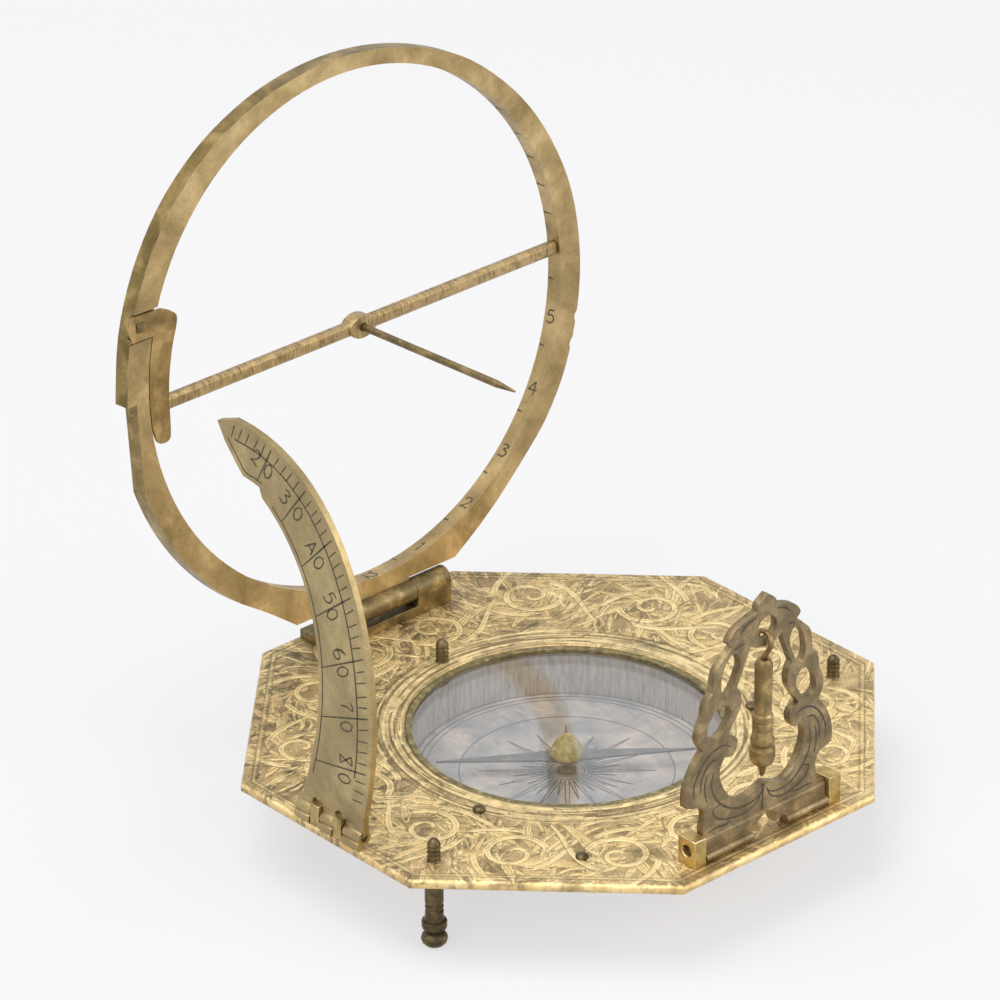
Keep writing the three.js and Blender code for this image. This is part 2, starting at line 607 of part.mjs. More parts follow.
// Latitude arc: a tapering blade between two curves, a beaked tip, three hinge feet and two notches
function latitudeArc() {
  const scaled = shares => shares.map(([y, z]) => new THREE.Vector2(y * arcHeight, plateTop + z * arcHeight));
  const outer = scaled(arcOuterShares);
  const inner = scaled(arcInnerShares);
  const outline = new THREE.Shape();
  const low = arcHingeZ;
  outline.moveTo(outer[0].x, low);
  outline.lineTo(outer[0].x, outer[0].y);
  outline.bezierCurveTo(outer[1].x, outer[1].y, outer[2].x, outer[2].y, outer[3].x, outer[3].y);
  for (const point of scaled(arcTipShares)) outline.lineTo(point.x, point.y);
  outline.lineTo(inner[3].x, inner[3].y);
  outline.bezierCurveTo(inner[2].x, inner[2].y, inner[1].x, inner[1].y, inner[0].x, inner[0].y);
  outline.lineTo(arcHingeAt(1), low);
  const blade = toSolid(slab(outline, arcThick, 26).applyMatrix4(alongX).translate(arcOuterX, 0, 0));
  const feet = arcFootShares.map(([from, to]) => {
    const span = [arcHingeAt(from), arcHingeAt(to)];
    const knuckle = rod("y", arcKnuckleRadius, span, [arcHingeX, arcHingeZ]);
    const edge = arcHingeX - arcFootReach;
    const rise = arcPostHeight + arcNotchGap;
    const flange = new THREE.Shape();
    flange.moveTo(arcHingeX, plateTop);
    flange.lineTo(arcOuterX, plateTop + rise);
    flange.quadraticCurveTo(arcOuterX, plateTop + arcFootThick, edge, plateTop + arcFootThick);
    flange.lineTo(edge, plateTop);
    const sole = slab(flange, span[1] - span[0], 8).applyMatrix4(alongMinusY).translate(0, span[1], 0);
    return join(toSolid(sole), knuckle);
  });
  const notches = arcPostSpans.map(([from, to]) => {
    const [a, b] = [from - arcNotchGap, to + arcNotchGap];
    const wall = plateTop + arcPostHeight + arcNotchGap;
    const house = plain([[a, plateTop - overrun], [b, plateTop - overrun], [b, wall],
      [(a + b) / 2, wall + arcNotchRise], [a, wall]]);
    const cutter = slab(house, arcThick + 2 * overrun).applyMatrix4(alongX);
    return toSolid(cutter.translate(arcOuterX - overrun, 0, 0));
  });
  const bore = rod("y", arcPinRadius + runningFit, [arcHingeStart - overrun, arcHingeAt(1) + overrun],
    [arcHingeX, arcHingeZ]);
  return cut(join(cut(blade, ...notches), ...feet), bore);
}

function arcPost(span) {
  const post = block([arcHingeX - arcPostHalf, arcHingeX + arcPostHalf], span,
    [plateTop, plateTop + arcPostHeight]);
  const tenon = rod("z", tenonRadius, [plateUnder, plateTop + arcPostHeight / 2], arcPostMiddle(span));
  const bore = rod("y", arcPinRadius + runningFit, [span[0] - overrun, span[1] + overrun],
    [arcHingeX, arcHingeZ]);
  return cut(join(post, tenon), bore);
}

// Plummet frame: a pierced scroll sheet with a crown, standing on a knuckle with two coved feet
const frameAt = ([x, z]) => [x * (x < 0 ? frameLeft : frameRight), plateTop + z * frameHeight];
const mirrored = points => points.map(([x, z]) => [-x, z]);

function frameSlab(points) {
  const sheet = slab(plain(points.map(frameAt)), frameThick).applyMatrix4(alongMinusY);
  return toSolid(sheet.translate(0, frameHingeY + frameThick / 2, 0));
}

function frameCutter(points) {
  const sheet = slab(plain(points), frameThick + 2 * overrun).applyMatrix4(alongMinusY);
  return toSolid(sheet.translate(0, frameHingeY + frameThick / 2 + overrun, 0));
}

function frameFoot(span) {
  const face = frameHingeY - frameThick / 2;
  const edge = frameHingeY - frameFootReach;
  const round = frameFootEdge / 2;
  const section = new THREE.Shape();
  section.moveTo(frameHingeY, plateTop);
  section.lineTo(frameHingeY, plateTop + frameCoveRise);
  section.lineTo(face, plateTop + frameCoveRise);
  section.quadraticCurveTo(face, plateTop + frameFootEdge, edge + round, plateTop + frameFootEdge);
  section.absarc(edge + round, plateTop + round, round, 90 * degree, 270 * degree, false);
  const foot = slab(section, span[1] - span[0], 6).applyMatrix4(alongX);
  return toSolid(foot.translate(span[0], 0, 0));
}

function plummetFrame() {
  const outer = runPoints(frameOuterShares, 3);
  const inner = runPoints(frameInnerShares, 3);
  const sheet = frameSlab([...outer, [0, 1], ...mirrored(outer).reverse()]);
  const opening = frameCutter([...inner.map(frameAt), frameAt(frameInnerShares.at(-1).at(-1)),
    ...mirrored(inner).reverse().slice(0, -1).map(frameAt)]);
  const holes = [frameUpperHoleShares, frameMiddleHoleShares].flatMap(shares => {
    const loop = closedCurve(shares, 4);
    return [frameCutter(loop.map(frameAt)), frameCutter(mirrored(loop).map(frameAt))];
  });
  const crown = rod("y", crownHoleRadius, [frameHingeY - frameThick, frameHingeY + frameThick],
    [0, plateTop + crownHoleShare * frameHeight]);
  const ends = [frameHingeShift - frameHingeHalf, frameHingeShift + frameHingeHalf];
  const knuckle = cut(rod("x", frameKnuckleRadius, ends, [frameHingeY, frameHingeZ]),
    block([ends[0] - overrun, ends[1] + overrun],
      [frameHingeY - frameKnuckleRadius - overrun, frameHingeY - frameKnuckleFront],
      [plateTop, frameHingeZ + frameKnuckleRadius]));
  const [footLeft, footRight] = frameFootGapShares.map(share => share * frameHingeHalf);
  const feet = [frameFoot([ends[0], footLeft]), frameFoot([footRight, ends[1]])];
  const middle = (footLeft + footRight) / 2;
  const notch = plain([[middle, plateTop + frameNotchTop], [middle - frameNotchHalf, frameHingeZ],
    [middle - frameNotchHalf / 2, plateTop - overrun], [middle + frameNotchHalf / 2, plateTop - overrun],
    [middle + frameNotchHalf, frameHingeZ]]);
  const notchCutter = toSolid(slab(notch, 4 * frameKnuckleRadius).applyMatrix4(alongMinusY)
    .translate(0, frameHingeY + 2 * frameKnuckleRadius, 0));
  const bores = ends.map((x, i) => rod("x", framePivotRadius + runningFit,
    i ? [x - framePinReach - seatGap, x + overrun] : [x - overrun, x + framePinReach + seatGap],
    [frameHingeY, frameHingeZ]));
  return cut(join(cut(sheet, opening, ...holes, crown), knuckle, ...feet), notchCutter, ...bores);
}

function frameBlock(side) {
  const [x, y] = frameBlockMiddle(side);
  const body = block([x - frameBlockWidth / 2, x + frameBlockWidth / 2],
    [frameHingeY - frameBlockFront, frameHingeY + frameBlockBack], [plateTop, plateTop + frameBlockHeight]);
  const tenon = rod("z", tenonRadius, [plateUnder, plateTop + frameBlockHeight / 4], [x, y]);
  const bore = rod("x", framePinRadius + runningFit,
    [x - frameBlockWidth / 2 - overrun, x + frameBlockWidth / 2 + overrun], [frameHingeY, frameHingeZ]);
  return cut(join(body, tenon), bore);
}

function framePin(side) {
  const stations = [frameBlockWidth - framePinInset, 0, -frameEndGap - framePinReach].map(reach =>
    frameHingeShift + side * (frameHingeHalf + frameEndGap + reach));
  const length = (radius, ends) => rod("x", radius, ends.sort((a, b) => a - b), [frameHingeY, frameHingeZ]);
  return join(length(framePinRadius, stations.slice(0, 2)),
    length(framePivotRadius, [stations[0], stations[2]]));
}

// Plumb bob and the open hook that hangs it from the bar under the frame's crown
function plumbBob() {
  const tip = cuspZ + bobTipGap;
  const top = tip + bobLength;
  const profile = bobShares.map(([r, z]) => [r * bobRadius, tip + z * bobLength]);
  const socket = [[hookWire + runningFit, top], [hookWire + runningFit, top - hookSocketDepth],
    [0, top - hookSocketDepth]];
  return turned([...profile, ...socket], [0, frameHingeY], 18);
}

function bobHook() {
  const low = cuspZ + bobTipGap + bobLength - hookSocketDepth + runningFit;
  const bend = [220, 195, 165, 135, 105, 75, 45, 15, -15, -40].map(angle => polar(hookBend, angle));
  const points = [[0, low - hookBarZ], [0, (low - hookBarZ) * 0.7], [0, -2 * hookBend], ...bend];
  const path = new THREE.CatmullRomCurve3(points.map(([y, z]) =>
    new THREE.Vector3(0, frameHingeY + y, hookBarZ + z)));
  const ring = new THREE.Shape();
  ring.absarc(0, 0, hookWire, 0, 2 * Math.PI, false);
  return toSolid(new THREE.ExtrudeGeometry(ring, { extrudePath: path, steps: 30, curveSegments: 4 }));
}

// The base and what is fixed to it
addPiece("base_plate", basePlate(), giltBrass);
addPiece("compass_box", compassBox(), brass);
addPiece("compass_dial", rod("z", boxInner - dialPlay, [boxFloor, dialTop], [0, 0], 72), silvered);
const glassSpan = [plateUnder, plateUnder + glassThick];
addPiece("compass_glass", rod("z", windowRadius - glassPlay, glassSpan, [0, 0], 72), clearGlass);
addPiece("glass_ring", glassRing(), darkBrass);
addPiece("needle_pivot", needlePivot(), brass);
footPlaces.forEach((place, i) =>
  addPiece(`foot_${i + 1}`, foot(place, i ? plateUnder : plateUnder - lugThick), darkBrass));
boxRivetPlaces.forEach((place, i) =>
  addPiece(`box_rivet_${i + 1}`, rivet(place, plateUnder - lugThick), darkBrass));
addPiece("plate_rivet", rivet(plateRivetPlace, plateUnder), darkBrass);
addPiece("ring_hinge_leaf", ringHingeLeaf(), brass);
addPiece("ring_hinge_pin", rod("x", ringPinRadius, [hingeEnds[0], hingeEnds[5]], [ringHingeY, ringHingeZ]),
  darkBrass);
arcPostSpans.forEach((span, i) => addPiece(`arc_post_${i + 1}`, arcPost(span), paleBrass));
addPiece("arc_hinge_pin", rod("y", arcPinRadius, [arcHingeStart, arcHingeAt(1)], [arcHingeX, arcHingeZ]),
  darkBrass);
for (const [name, side] of frameSides) {
  addPiece(`frame_block_${name}`, frameBlock(side), paleBrass);
  addPiece(`frame_pin_${name}`, framePin(side), darkBrass);
}

// The hour ring, leaning back on its hinge, and the bar and pin that turn in it
const ringSet = new THREE.Group();
ringSet.position.set(0, ringHingeY, ringHingeZ);
ringSet.rotation.x = (90 - ringLean) * degree;
sundial.add(ringSet);
addPiece("hour_ring", hourRing(), brass, ringSet);
addPiece("gnomon_spring", gnomonSpring(), brass, ringSet);
addPiece("spring_rivet", springRivet(), darkBrass, ringSet);
const pivotInner = ringInner - barEndGap - barPivotDepth;
addPiece("bar_pivot_left", rod("x", barPivotRadius, [-ringFlatX, -pivotInner], [ringCentre, -barSetback]),
  darkBrass, ringSet);
addPiece("bar_pivot_right", rod("x", barPivotRadius, [pivotInner, ringOuter - seatGap],
  [ringCentre, -barSetback]), darkBrass, ringSet);

const barSet = new THREE.Group();
barSet.position.set(0, ringCentre, -barSetback);
barSet.rotation.x = barTurn * degree;
ringSet.add(barSet);
addPiece("gnomon_bar", gnomonBar(), brass, barSet);
addPiece("gnomon_pin", gnomonPin(), brass, barSet);

// The other moving pieces
addPiece("latitude_arc", latitudeArc(), brass);
addPiece("plummet_frame", plummetFrame(), brass);
addPiece("plumb_bob", plumbBob(), brass);
addPiece("bob_hook", bobHook(), brass);
addPiece("compass_needle", compassNeedle(), blueSteel);
addPiece("needle_cap", needleCap(), paleBrass);

export default sundial;
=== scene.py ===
import json
import math

import bmesh
import bpy
import numpy as np
from mathutils import Matrix, Vector

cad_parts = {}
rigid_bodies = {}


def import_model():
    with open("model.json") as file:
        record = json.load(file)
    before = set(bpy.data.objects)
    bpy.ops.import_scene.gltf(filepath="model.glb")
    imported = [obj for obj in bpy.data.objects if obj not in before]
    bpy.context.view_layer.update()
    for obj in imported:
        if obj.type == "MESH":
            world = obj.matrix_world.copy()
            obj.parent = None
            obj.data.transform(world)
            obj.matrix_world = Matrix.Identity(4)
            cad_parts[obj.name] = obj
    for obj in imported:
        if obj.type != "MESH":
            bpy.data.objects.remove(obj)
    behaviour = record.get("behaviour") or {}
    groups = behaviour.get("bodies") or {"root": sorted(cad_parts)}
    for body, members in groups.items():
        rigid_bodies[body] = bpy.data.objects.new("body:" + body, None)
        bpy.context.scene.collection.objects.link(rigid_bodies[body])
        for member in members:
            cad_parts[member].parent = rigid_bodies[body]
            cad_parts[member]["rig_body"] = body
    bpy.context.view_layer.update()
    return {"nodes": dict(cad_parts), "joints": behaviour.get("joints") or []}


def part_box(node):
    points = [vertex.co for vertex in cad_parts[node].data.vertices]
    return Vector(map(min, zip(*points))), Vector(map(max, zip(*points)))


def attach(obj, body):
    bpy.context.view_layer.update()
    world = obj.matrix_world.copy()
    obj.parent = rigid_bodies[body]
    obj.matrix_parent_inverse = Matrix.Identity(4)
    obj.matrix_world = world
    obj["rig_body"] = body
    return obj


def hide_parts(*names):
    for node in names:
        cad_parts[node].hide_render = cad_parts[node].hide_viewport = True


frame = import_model()
print("frame loaded:", len(frame["nodes"]), "nodes")

scene = bpy.context.scene
scene.view_settings.view_transform = "Standard"
metre = 0.001  # sizes below are in millimetres
perMetre = 1 / metre
chance = np.random.default_rng(1720)


# Places taken from the frame, in millimetres
def low(node):
    return np.array(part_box(node)[0]) * perMetre


def high(node):
    return np.array(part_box(node)[1]) * perMetre


jointPlace = {joint["name"]: np.array(joint["pos_m"]) * perMetre for joint in frame["joints"]}
plateTop = high("base_plate")[2]
plateUnder = low("base_plate")[2]
dialTop = high("compass_dial")[2]
floorLevel = low("foot_1")[2]


# Camera and stage
camera = {
    "azimuth": -42.1530,
    "elevation": 28.0077,
    "roll": -0.1580,
    "distance": 629.43,
    "slideRight": -6.3018,
    "slideUp": 21.2964,
    "lens": 238.72,
    "sensor": 36,
    "nearest": 0.01,  # metres
    "farthest": 20,
}


def placeCamera():
    azimuth, elevation, roll = (math.radians(camera[key]) for key in ("azimuth", "elevation", "roll"))
    back = Vector((math.sin(azimuth) * math.cos(elevation), -math.cos(azimuth) * math.cos(elevation),
                   math.sin(elevation)))
    level = Vector((math.cos(azimuth), math.sin(azimuth), 0))
    upright = back.cross(level)
    right = math.cos(roll) * level + math.sin(roll) * upright
    up = -math.sin(roll) * level + math.cos(roll) * upright
    place = back * camera["distance"] + level * camera["slideRight"] + upright * camera["slideUp"]
    place.z += plateTop
    lens = bpy.data.cameras.new("camera")
    lens.sensor_width = camera["sensor"]
    lens.lens = camera["lens"]
    lens.clip_start, lens.clip_end = camera["nearest"], camera["farthest"]
    holder = bpy.data.objects.new("camera", lens)
    holder.matrix_world = Matrix.Translation(place * metre) @ Matrix((right, up, back)).transposed().to_4x4()
    scene.collection.objects.link(holder)
    scene.camera = holder


stage = {
    "floorSize": 6.0,  # metres
    "floorColour": (0.78, 0.785, 0.81),
    "floorGlow": (0.915, 0.915, 0.925),
    "glowShare": 0.68,  # how much of the floor's look is its own pale colour
    "skyColour": (0.95, 0.96, 0.98),
    "skyLevel": 0.45,  # as light on the dial
    "skySeen": 1.0,  # as a background
    "lampsAimAt": (0, 0, 0.02),
}

# name: place in metres, size in metres, power in watts, colour
lamps = {
    "top_lamp": ((-0.2, 0.08, 0.8), 0.6, 5.0, (1.0, 0.98, 0.95)),
    "side_lamp": ((-0.85, -0.25, 0.5), 0.6, 2.6, (0.97, 0.98, 1.0)),
    "front_lamp": ((0.45, -0.8, 0.45), 0.8, 5.0, (1.0, 0.97, 0.93)),
}


def feed(node, inputs):  # a socket is linked, any other value is set
    for name, value in inputs.items():
        if isinstance(value, bpy.types.NodeSocket):
            node.id_data.links.new(value, node.inputs[name])
        else:
            node.inputs[name].default_value = value


def addNode(near, kind, inputs, **settings):  # near: the node tree, or a node or socket in it
    node = near.id_data.nodes.new("ShaderNode" + kind)
    for name, value in settings.items():
        setattr(node, name, value)
    feed(node, inputs)
    return node.outputs


def mathNode(operation, first, second):
    return addNode(first, "Math", {0: first, 1: second}, operation=operation)[0]


def seenBy(tree, *rays):  # 1 for these rays, otherwise 0
    path = addNode(tree, "LightPath", {})
    seen = path[rays[0]]
    for ray in rays[1:]:
        seen = mathNode("MAXIMUM", seen, path[ray])
    return seen


def makeSky():
    world = bpy.data.worlds.new("studio")
    scene.world = world
    world.use_nodes = True
    tree = world.node_tree
    seen = seenBy(tree, "Is Camera Ray", "Is Glossy Ray", "Is Transmission Ray")
    level = addNode(tree, "MapRange", {"Value": seen, "To Min": stage["skyLevel"],
                                       "To Max": stage["skySeen"]})
    feed(tree.nodes["Background"], {"Color": (*stage["skyColour"], 1), "Strength": level["Result"]})


def layFloor():
    half = stage["floorSize"] / 2
    bottom = floorLevel * metre
    corners = [(-half, -half, bottom), (half, -half, bottom), (half, half, bottom), (-half, half, bottom)]
    mesh = bpy.data.meshes.new("floor")
    mesh.from_pydata(corners, [], [(0, 1, 2, 3)])
    floor = bpy.data.objects.new("floor", mesh)
    scene.collection.objects.link(floor)
    paper = bpy.data.materials.new("floor_paper")
    paper.use_nodes = True
    tree = paper.node_tree
    tree.nodes.clear()
    matt = addNode(tree, "BsdfDiffuse", {"Color": (*stage["floorColour"], 1)})
    glow = addNode(tree, "Emission", {"Color": (*stage["floorGlow"], 1)})
    share = mathNode("MULTIPLY", seenBy(tree, "Is Camera Ray", "Is Glossy Ray"), stage["glowShare"])
    mix = addNode(tree, "MixShader", {"Fac": share, 1: matt[0], 2: glow[0]})
    addNode(tree, "OutputMaterial", {"Surface": mix[0]})
    mesh.materials.append(paper)


def hangLamps():
    aim = Vector(stage["lampsAimAt"])
    for name, (place, size, power, colour) in lamps.items():
        light = bpy.data.lights.new(name, "AREA")
        light.size = size
        light.energy = power
        light.color = colour
        lamp = bpy.data.objects.new(name, light)
        lamp.location = place
        lamp.rotation_mode = "QUATERNION"
        lamp.rotation_quaternion = (Vector(place) - aim).to_track_quat("Z", "Y")
        scene.collection.objects.link(lamp)


placeCamera()
makeSky()
layFloor()
hangLamps()
print("camera and stage ready")


# Finishes
def onScreen(colour):  # a colour as it looks on a screen, 0 to 255, for a shader
    return (*(((value / 255 + 0.055) / 1.055) ** 2.4 for value in colour), 1)


def stretched(place, scales):
    return addNode(place, "Mapping", {"Vector": place, "Scale": scales})[0]


def newFinish(name):  # with its shader and the place on the piece, in millimetres
    finish = bpy.data.materials.new(name)
    finish.use_nodes = True
    shader = finish.node_tree.nodes["Principled BSDF"]
    return finish, shader, stretched(addNode(shader, "TexCoord", {})["Object"], (perMetre,) * 3)


def noiseAt(place, size, detail, rough, twist=0):
    return addNode(place, "TexNoise", {"Vector": place, "Scale": 1 / size, "Detail": detail,
                                      "Roughness": rough, "Distortion": twist})["Fac"]


def ramp(value, stops):  # the first two stops are its ends
    node = value.id_data.nodes.new("ShaderNodeValToRGB")
    elements = node.color_ramp.elements
    for index, (place, tone) in enumerate(stops):
        element = elements[index] if index < 2 else elements.new(place)
        element.position = place
        element.color = onScreen(tone)
    feed(node, {"Fac": value})
    return node.outputs["Color"]


def between(value, lowest, highest, start=0.0, end=1.0):
    return addNode(value, "MapRange", {"Value": value, "From Min": lowest, "From Max": highest,
                                      "To Min": start, "To Max": end})["Result"]


def mixed(share, first, second):  # two colours, each a socket or a tone as it looks on a screen
    first, second = (onScreen(end) if isinstance(end, tuple) else end for end in (first, second))
    return addNode(share, "Mix", {0: share, 6: first, 7: second}, data_type="RGBA")[2]


def tinted(colour, value, lowest, highest, share, tone):  # the tone comes in as the value rises
    return mixed(between(value, lowest, highest, 0, share), colour, tone)


def distanceAlong(place, direction):
    return addNode(place, "VectorMath", {0: place, 1: direction}, operation="DOT_PRODUCT")["Value"]


def bumps(height, depth):
    return addNode(height, "Bump", {"Height": height, "Distance": depth * metre, "Strength": 1})["Normal"]


# Old brass: tones in patches, clouds, stains, fine brush lines, a grain and pits.
# Sizes are in millimetres, tones as they look on a screen; a brass may have its own value for any of these.
brassBase = {
    "patch": 4.0,
    "cloud": 1.1,
    "clouds": 0.5,
    "stainSize": 2.4,
    "stains": 0.4,
    "stainTone": (88, 80, 58),
    "brushSize": 0.2,
    "brush": (3, 3, 0.6),  # how much finer the brush lines are along each axis
    "brushShare": 0.22,
    "grainSize": 0.11,
    "grains": 0.3,
    "grainTone": (94, 80, 52),
    "grainRelief": 0.6,  # beside the brush lines' 1
    "pitSize": 0.33,
    "pits": 0.55,
    "pitTone": (70, 62, 46),
    "pitRelief": 1.2,
    "metal": 0.9,
    "rough": (0.32, 0.52),
    "relief": 0.02,
}


def oldBrass(name, own):
    finish, shader, place = newFinish(name)
    dark, middle, light = own["tones"]
    brass = {**brassBase, "cloudTone": dark, "brushTone": light, **own}
    patches = noiseAt(place, brass["patch"], 6, 0.6, 0.4)
    colour = ramp(between(patches, 0.36, 0.66), [(0, dark), (0.9, light), (0.5, middle)])
    cloud = noiseAt(place, brass["cloud"], 8, 0.65)
    colour = tinted(colour, cloud, 0.4, 0.7, brass["clouds"], brass["cloudTone"])
    stains = noiseAt(stretched(place, (1, 1.3, 0.8)), brass["stainSize"], 7, 0.7, 0.8)
    colour = tinted(colour, stains, 0.56, 0.7, brass["stains"], brass["stainTone"])
    brush = noiseAt(stretched(place, brass["brush"]), brass["brushSize"], 3, 0.6)
    colour = tinted(colour, brush, 0.35, 0.7, brass["brushShare"], brass["brushTone"])
    grain = noiseAt(place, brass["grainSize"], 4, 0.75)
    colour = tinted(colour, grain, 0.46, 0.62, brass["grains"], brass["grainTone"])
    pits = between(noiseAt(place, brass["pitSize"], 3, 0.5), 0.7, 0.76, 0, brass["pits"])
    colour = mixed(pits, colour, brass["pitTone"])
    relief = mathNode("ADD", mathNode("MULTIPLY", grain, brass["grainRelief"]), brush)
    relief = mathNode("SUBTRACT", relief, mathNode("MULTIPLY", pits, brass["pitRelief"]))
    feed(shader, {"Base Color": colour, "Metallic": brass["metal"],
                  "Roughness": between(cloud, 0.3, 0.75, *brass["rough"]),
                  "Normal": bumps(relief, brass["relief"])})
    return finish


def markInk(name, tone, rough=0.6, fading=38):
    finish, shader, place = newFinish(name)
    worn = between(noiseAt(place, 0.35, 4, 0.6), 0.35, 0.75)
    colour = ramp(worn, [(0, tone), (1, tuple(value + fading for value in tone))])
    feed(shader, {"Base Color": colour, "Metallic": 0.4, "Roughness": rough})
    return finish


finishes = {
    "ringBrass": oldBrass("ring_brass", {
        "tones": [(138, 118, 76), (180, 155, 107), (208, 182, 132)], "patch": 5.0,
        "cloudTone": (160, 138, 100), "stains": 0.45, "stainTone": (112, 96, 62), "rough": (0.34, 0.5)}),
    "ringRim": oldBrass("ring_rim", {
        "tones": [(98, 84, 46), (144, 122, 74), (180, 154, 100)], "patch": 3.0, "stains": 0.5,
        "stainTone": (80, 70, 42), "rough": (0.3, 0.46)}),
    "springBrass": oldBrass("spring_brass", {
        "tones": [(116, 96, 58), (158, 130, 82), (196, 166, 112)], "patch": 3.0, "stains": 0.7,
        "stainTone": (98, 86, 62), "rough": (0.34, 0.5)}),
    "arcBrass": oldBrass("arc_brass", {
        "tones": [(148, 130, 90), (170, 151, 108), (192, 171, 124)], "patch": 7.0, "stains": 0.25,
        "brush": (1, 4, 0.7), "brushShare": 0.3, "pits": 0.3, "rough": (0.32, 0.46)}),
    "frameBrass": oldBrass("frame_brass", {
        "tones": [(106, 93, 69), (142, 123, 92), (180, 158, 118)], "patch": 2.2, "stains": 0.7,
        "stainTone": (96, 93, 84), "rough": (0.36, 0.54)}),
    "hingeBrass": oldBrass("hinge_brass", {
        "tones": [(80, 70, 48), (116, 100, 66), (164, 142, 98)], "patch": 1.8, "stains": 0.75,
        "stainTone": (84, 84, 68), "cloudTone": (108, 96, 70), "rough": (0.34, 0.55)}),
    "footBrass": oldBrass("foot_brass", {
        "tones": [(58, 51, 38), (90, 78, 54), (128, 110, 76)], "patch": 1.6, "rough": (0.3, 0.5)}),
    "postBrass": oldBrass("post_brass", {
        "tones": [(142, 121, 70), (182, 158, 102), (208, 185, 130)], "patch": 1.4, "stains": 0.5,
        "stainTone": (112, 110, 82), "rough": (0.3, 0.44)}),
    "blockBrass": oldBrass("block_brass", {
        "tones": [(150, 128, 74), (190, 164, 102), (216, 192, 128)], "patch": 1.2, "stains": 0.6,
        "stainTone": (108, 96, 64), "rough": (0.32, 0.48)}),
    "bobBrass": oldBrass("bob_brass", {
        "tones": [(112, 94, 60), (146, 124, 82), (184, 158, 106)], "patch": 2.0, "stains": 0.6,
        "stainTone": (92, 84, 66), "rough": (0.32, 0.5)}),
    "barBrass": oldBrass("bar_brass", {
        "tones": [(112, 94, 60), (150, 127, 86), (184, 158, 112)], "patch": 1.2, "cloud": 0.45,
        "brush": (1.0, 0.15, 0.15), "brushShare": 0.7, "brushTone": (216, 188, 140), "rough": (0.32, 0.5),
        "relief": 0.04}),
    "capBrass": oldBrass("cap_brass", {
        "tones": [(146, 134, 84), (194, 180, 124), (228, 214, 164)], "patch": 0.6, "stains": 0.5,
        "rough": (0.35, 0.5), "relief": 0.16}),
    "rimBrass": oldBrass("rim_brass", {
        "tones": [(96, 92, 66), (134, 124, 88), (184, 168, 120)], "patch": 0.8, "stains": 0.5,
        "stainTone": (96, 112, 98), "rough": (0.4, 0.6)}),
    "darkSteel": oldBrass("dark_steel", {
        "tones": [(104, 106, 109), (120, 122, 124), (140, 141, 142)], "patch": 3.0, "stains": 0.2,
        "rough": (0.3, 0.42)}),
    # paler brass for eased edges: rubbed wear, and a painted highlight along them
    "wornEdge": oldBrass("worn_edge", {
        "tones": [(150, 128, 84), (214, 190, 142), (236, 214, 170)], "patch": 1.6, "rough": (0.3, 0.4)}),
    "darkInk": markInk("engraved_dark", (64, 55, 38)),
}


def paleInside(finish, radius, tone):  # the same brass, with a pale lining nearer the axis than the radius
    nodes = finish.node_tree.nodes
    shader = nodes["Principled BSDF"]
    place = next(node for node in nodes if node.bl_idname == "ShaderNodeMapping").outputs[0]
    flat = addNode(shader, "VectorMath", {0: stretched(place, (1, 1, 0))}, operation="LENGTH")["Value"]
    colour = shader.inputs["Base Color"].links[0].from_socket
    lining = between(flat, radius - 0.1, radius, 1, 0)
    streaks = noiseAt(stretched(place, (3, 3, 0.4)), 0.9, 4, 0.6)
    darker = tuple(0.8 * value for value in tone)
    pale = mixed(between(streaks, 0.4, 0.7), tone, darker)
    feed(shader, {"Base Color": mixed(lining, colour, pale)})
    return finish


boxSettings = {"liningRadius": 15.6, "liningTone": (196, 190, 182)}
finishes["boxBrass"] = paleInside(oldBrass("box_brass", {
    "tones": [(94, 80, 52), (130, 110, 72), (168, 144, 98)], "patch": 2.4, "stains": 0.75,
    "metal": 0.6}), boxSettings["liningRadius"], boxSettings["liningTone"])
print("finishes ready")


def addPiece(name, mesh, body):
    piece = bpy.data.objects.new(name, mesh)
    scene.collection.objects.link(piece)
    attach(piece, body)
    return piece


# Pieces that keep their solid's shape: planes cleaned, edges eased, then a finish
easing = {
    "mergeWithin": 0.002,
    "flatWithin": 1.2,  # degrees
    "edgeFrom": 38,  # degrees
    "segments": 2,
    "wornFinishes": ("ring_brass", "spring_brass", "arc_brass", "frame_brass", "post_brass", "block_brass",
                     "bar_brass"),  # their eased edges show a paler brass: rubbed wear and a painted highlight
}


def dress(node, finish, ease):
    mesh = frame["nodes"][node].data.copy()
    work = bmesh.new()
    work.from_mesh(mesh)
    bmesh.ops.remove_doubles(work, verts=work.verts, dist=easing["mergeWithin"] * metre)
    bmesh.ops.dissolve_limit(work, angle_limit=math.radians(easing["flatWithin"]), verts=work.verts,
                             edges=work.edges)
    for face in work.faces:
        face.smooth = True
    work.to_mesh(mesh)
    work.free()
    mesh.materials.clear()
    mesh.materials.append(finish)
    piece = addPiece(node + "_dressed", mesh, frame["nodes"][node]["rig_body"])
    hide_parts(node)
    bevel = piece.modifiers.new("eased_edges", "BEVEL")
    bevel.width = ease * metre
    bevel.segments = easing["segments"]
    bevel.limit_method = "ANGLE"
    bevel.angle_limit = math.radians(easing["edgeFrom"])
    # the bevel faces take the paler brass: rubbed wear and a painted highlight
    if finish.name in easing["wornFinishes"]:
        mesh.materials.append(finishes["wornEdge"])
        bevel.material = 1
    piece.modifiers.new("even_shading", "WEIGHTED_NORMAL").keep_sharp = True
    return piece


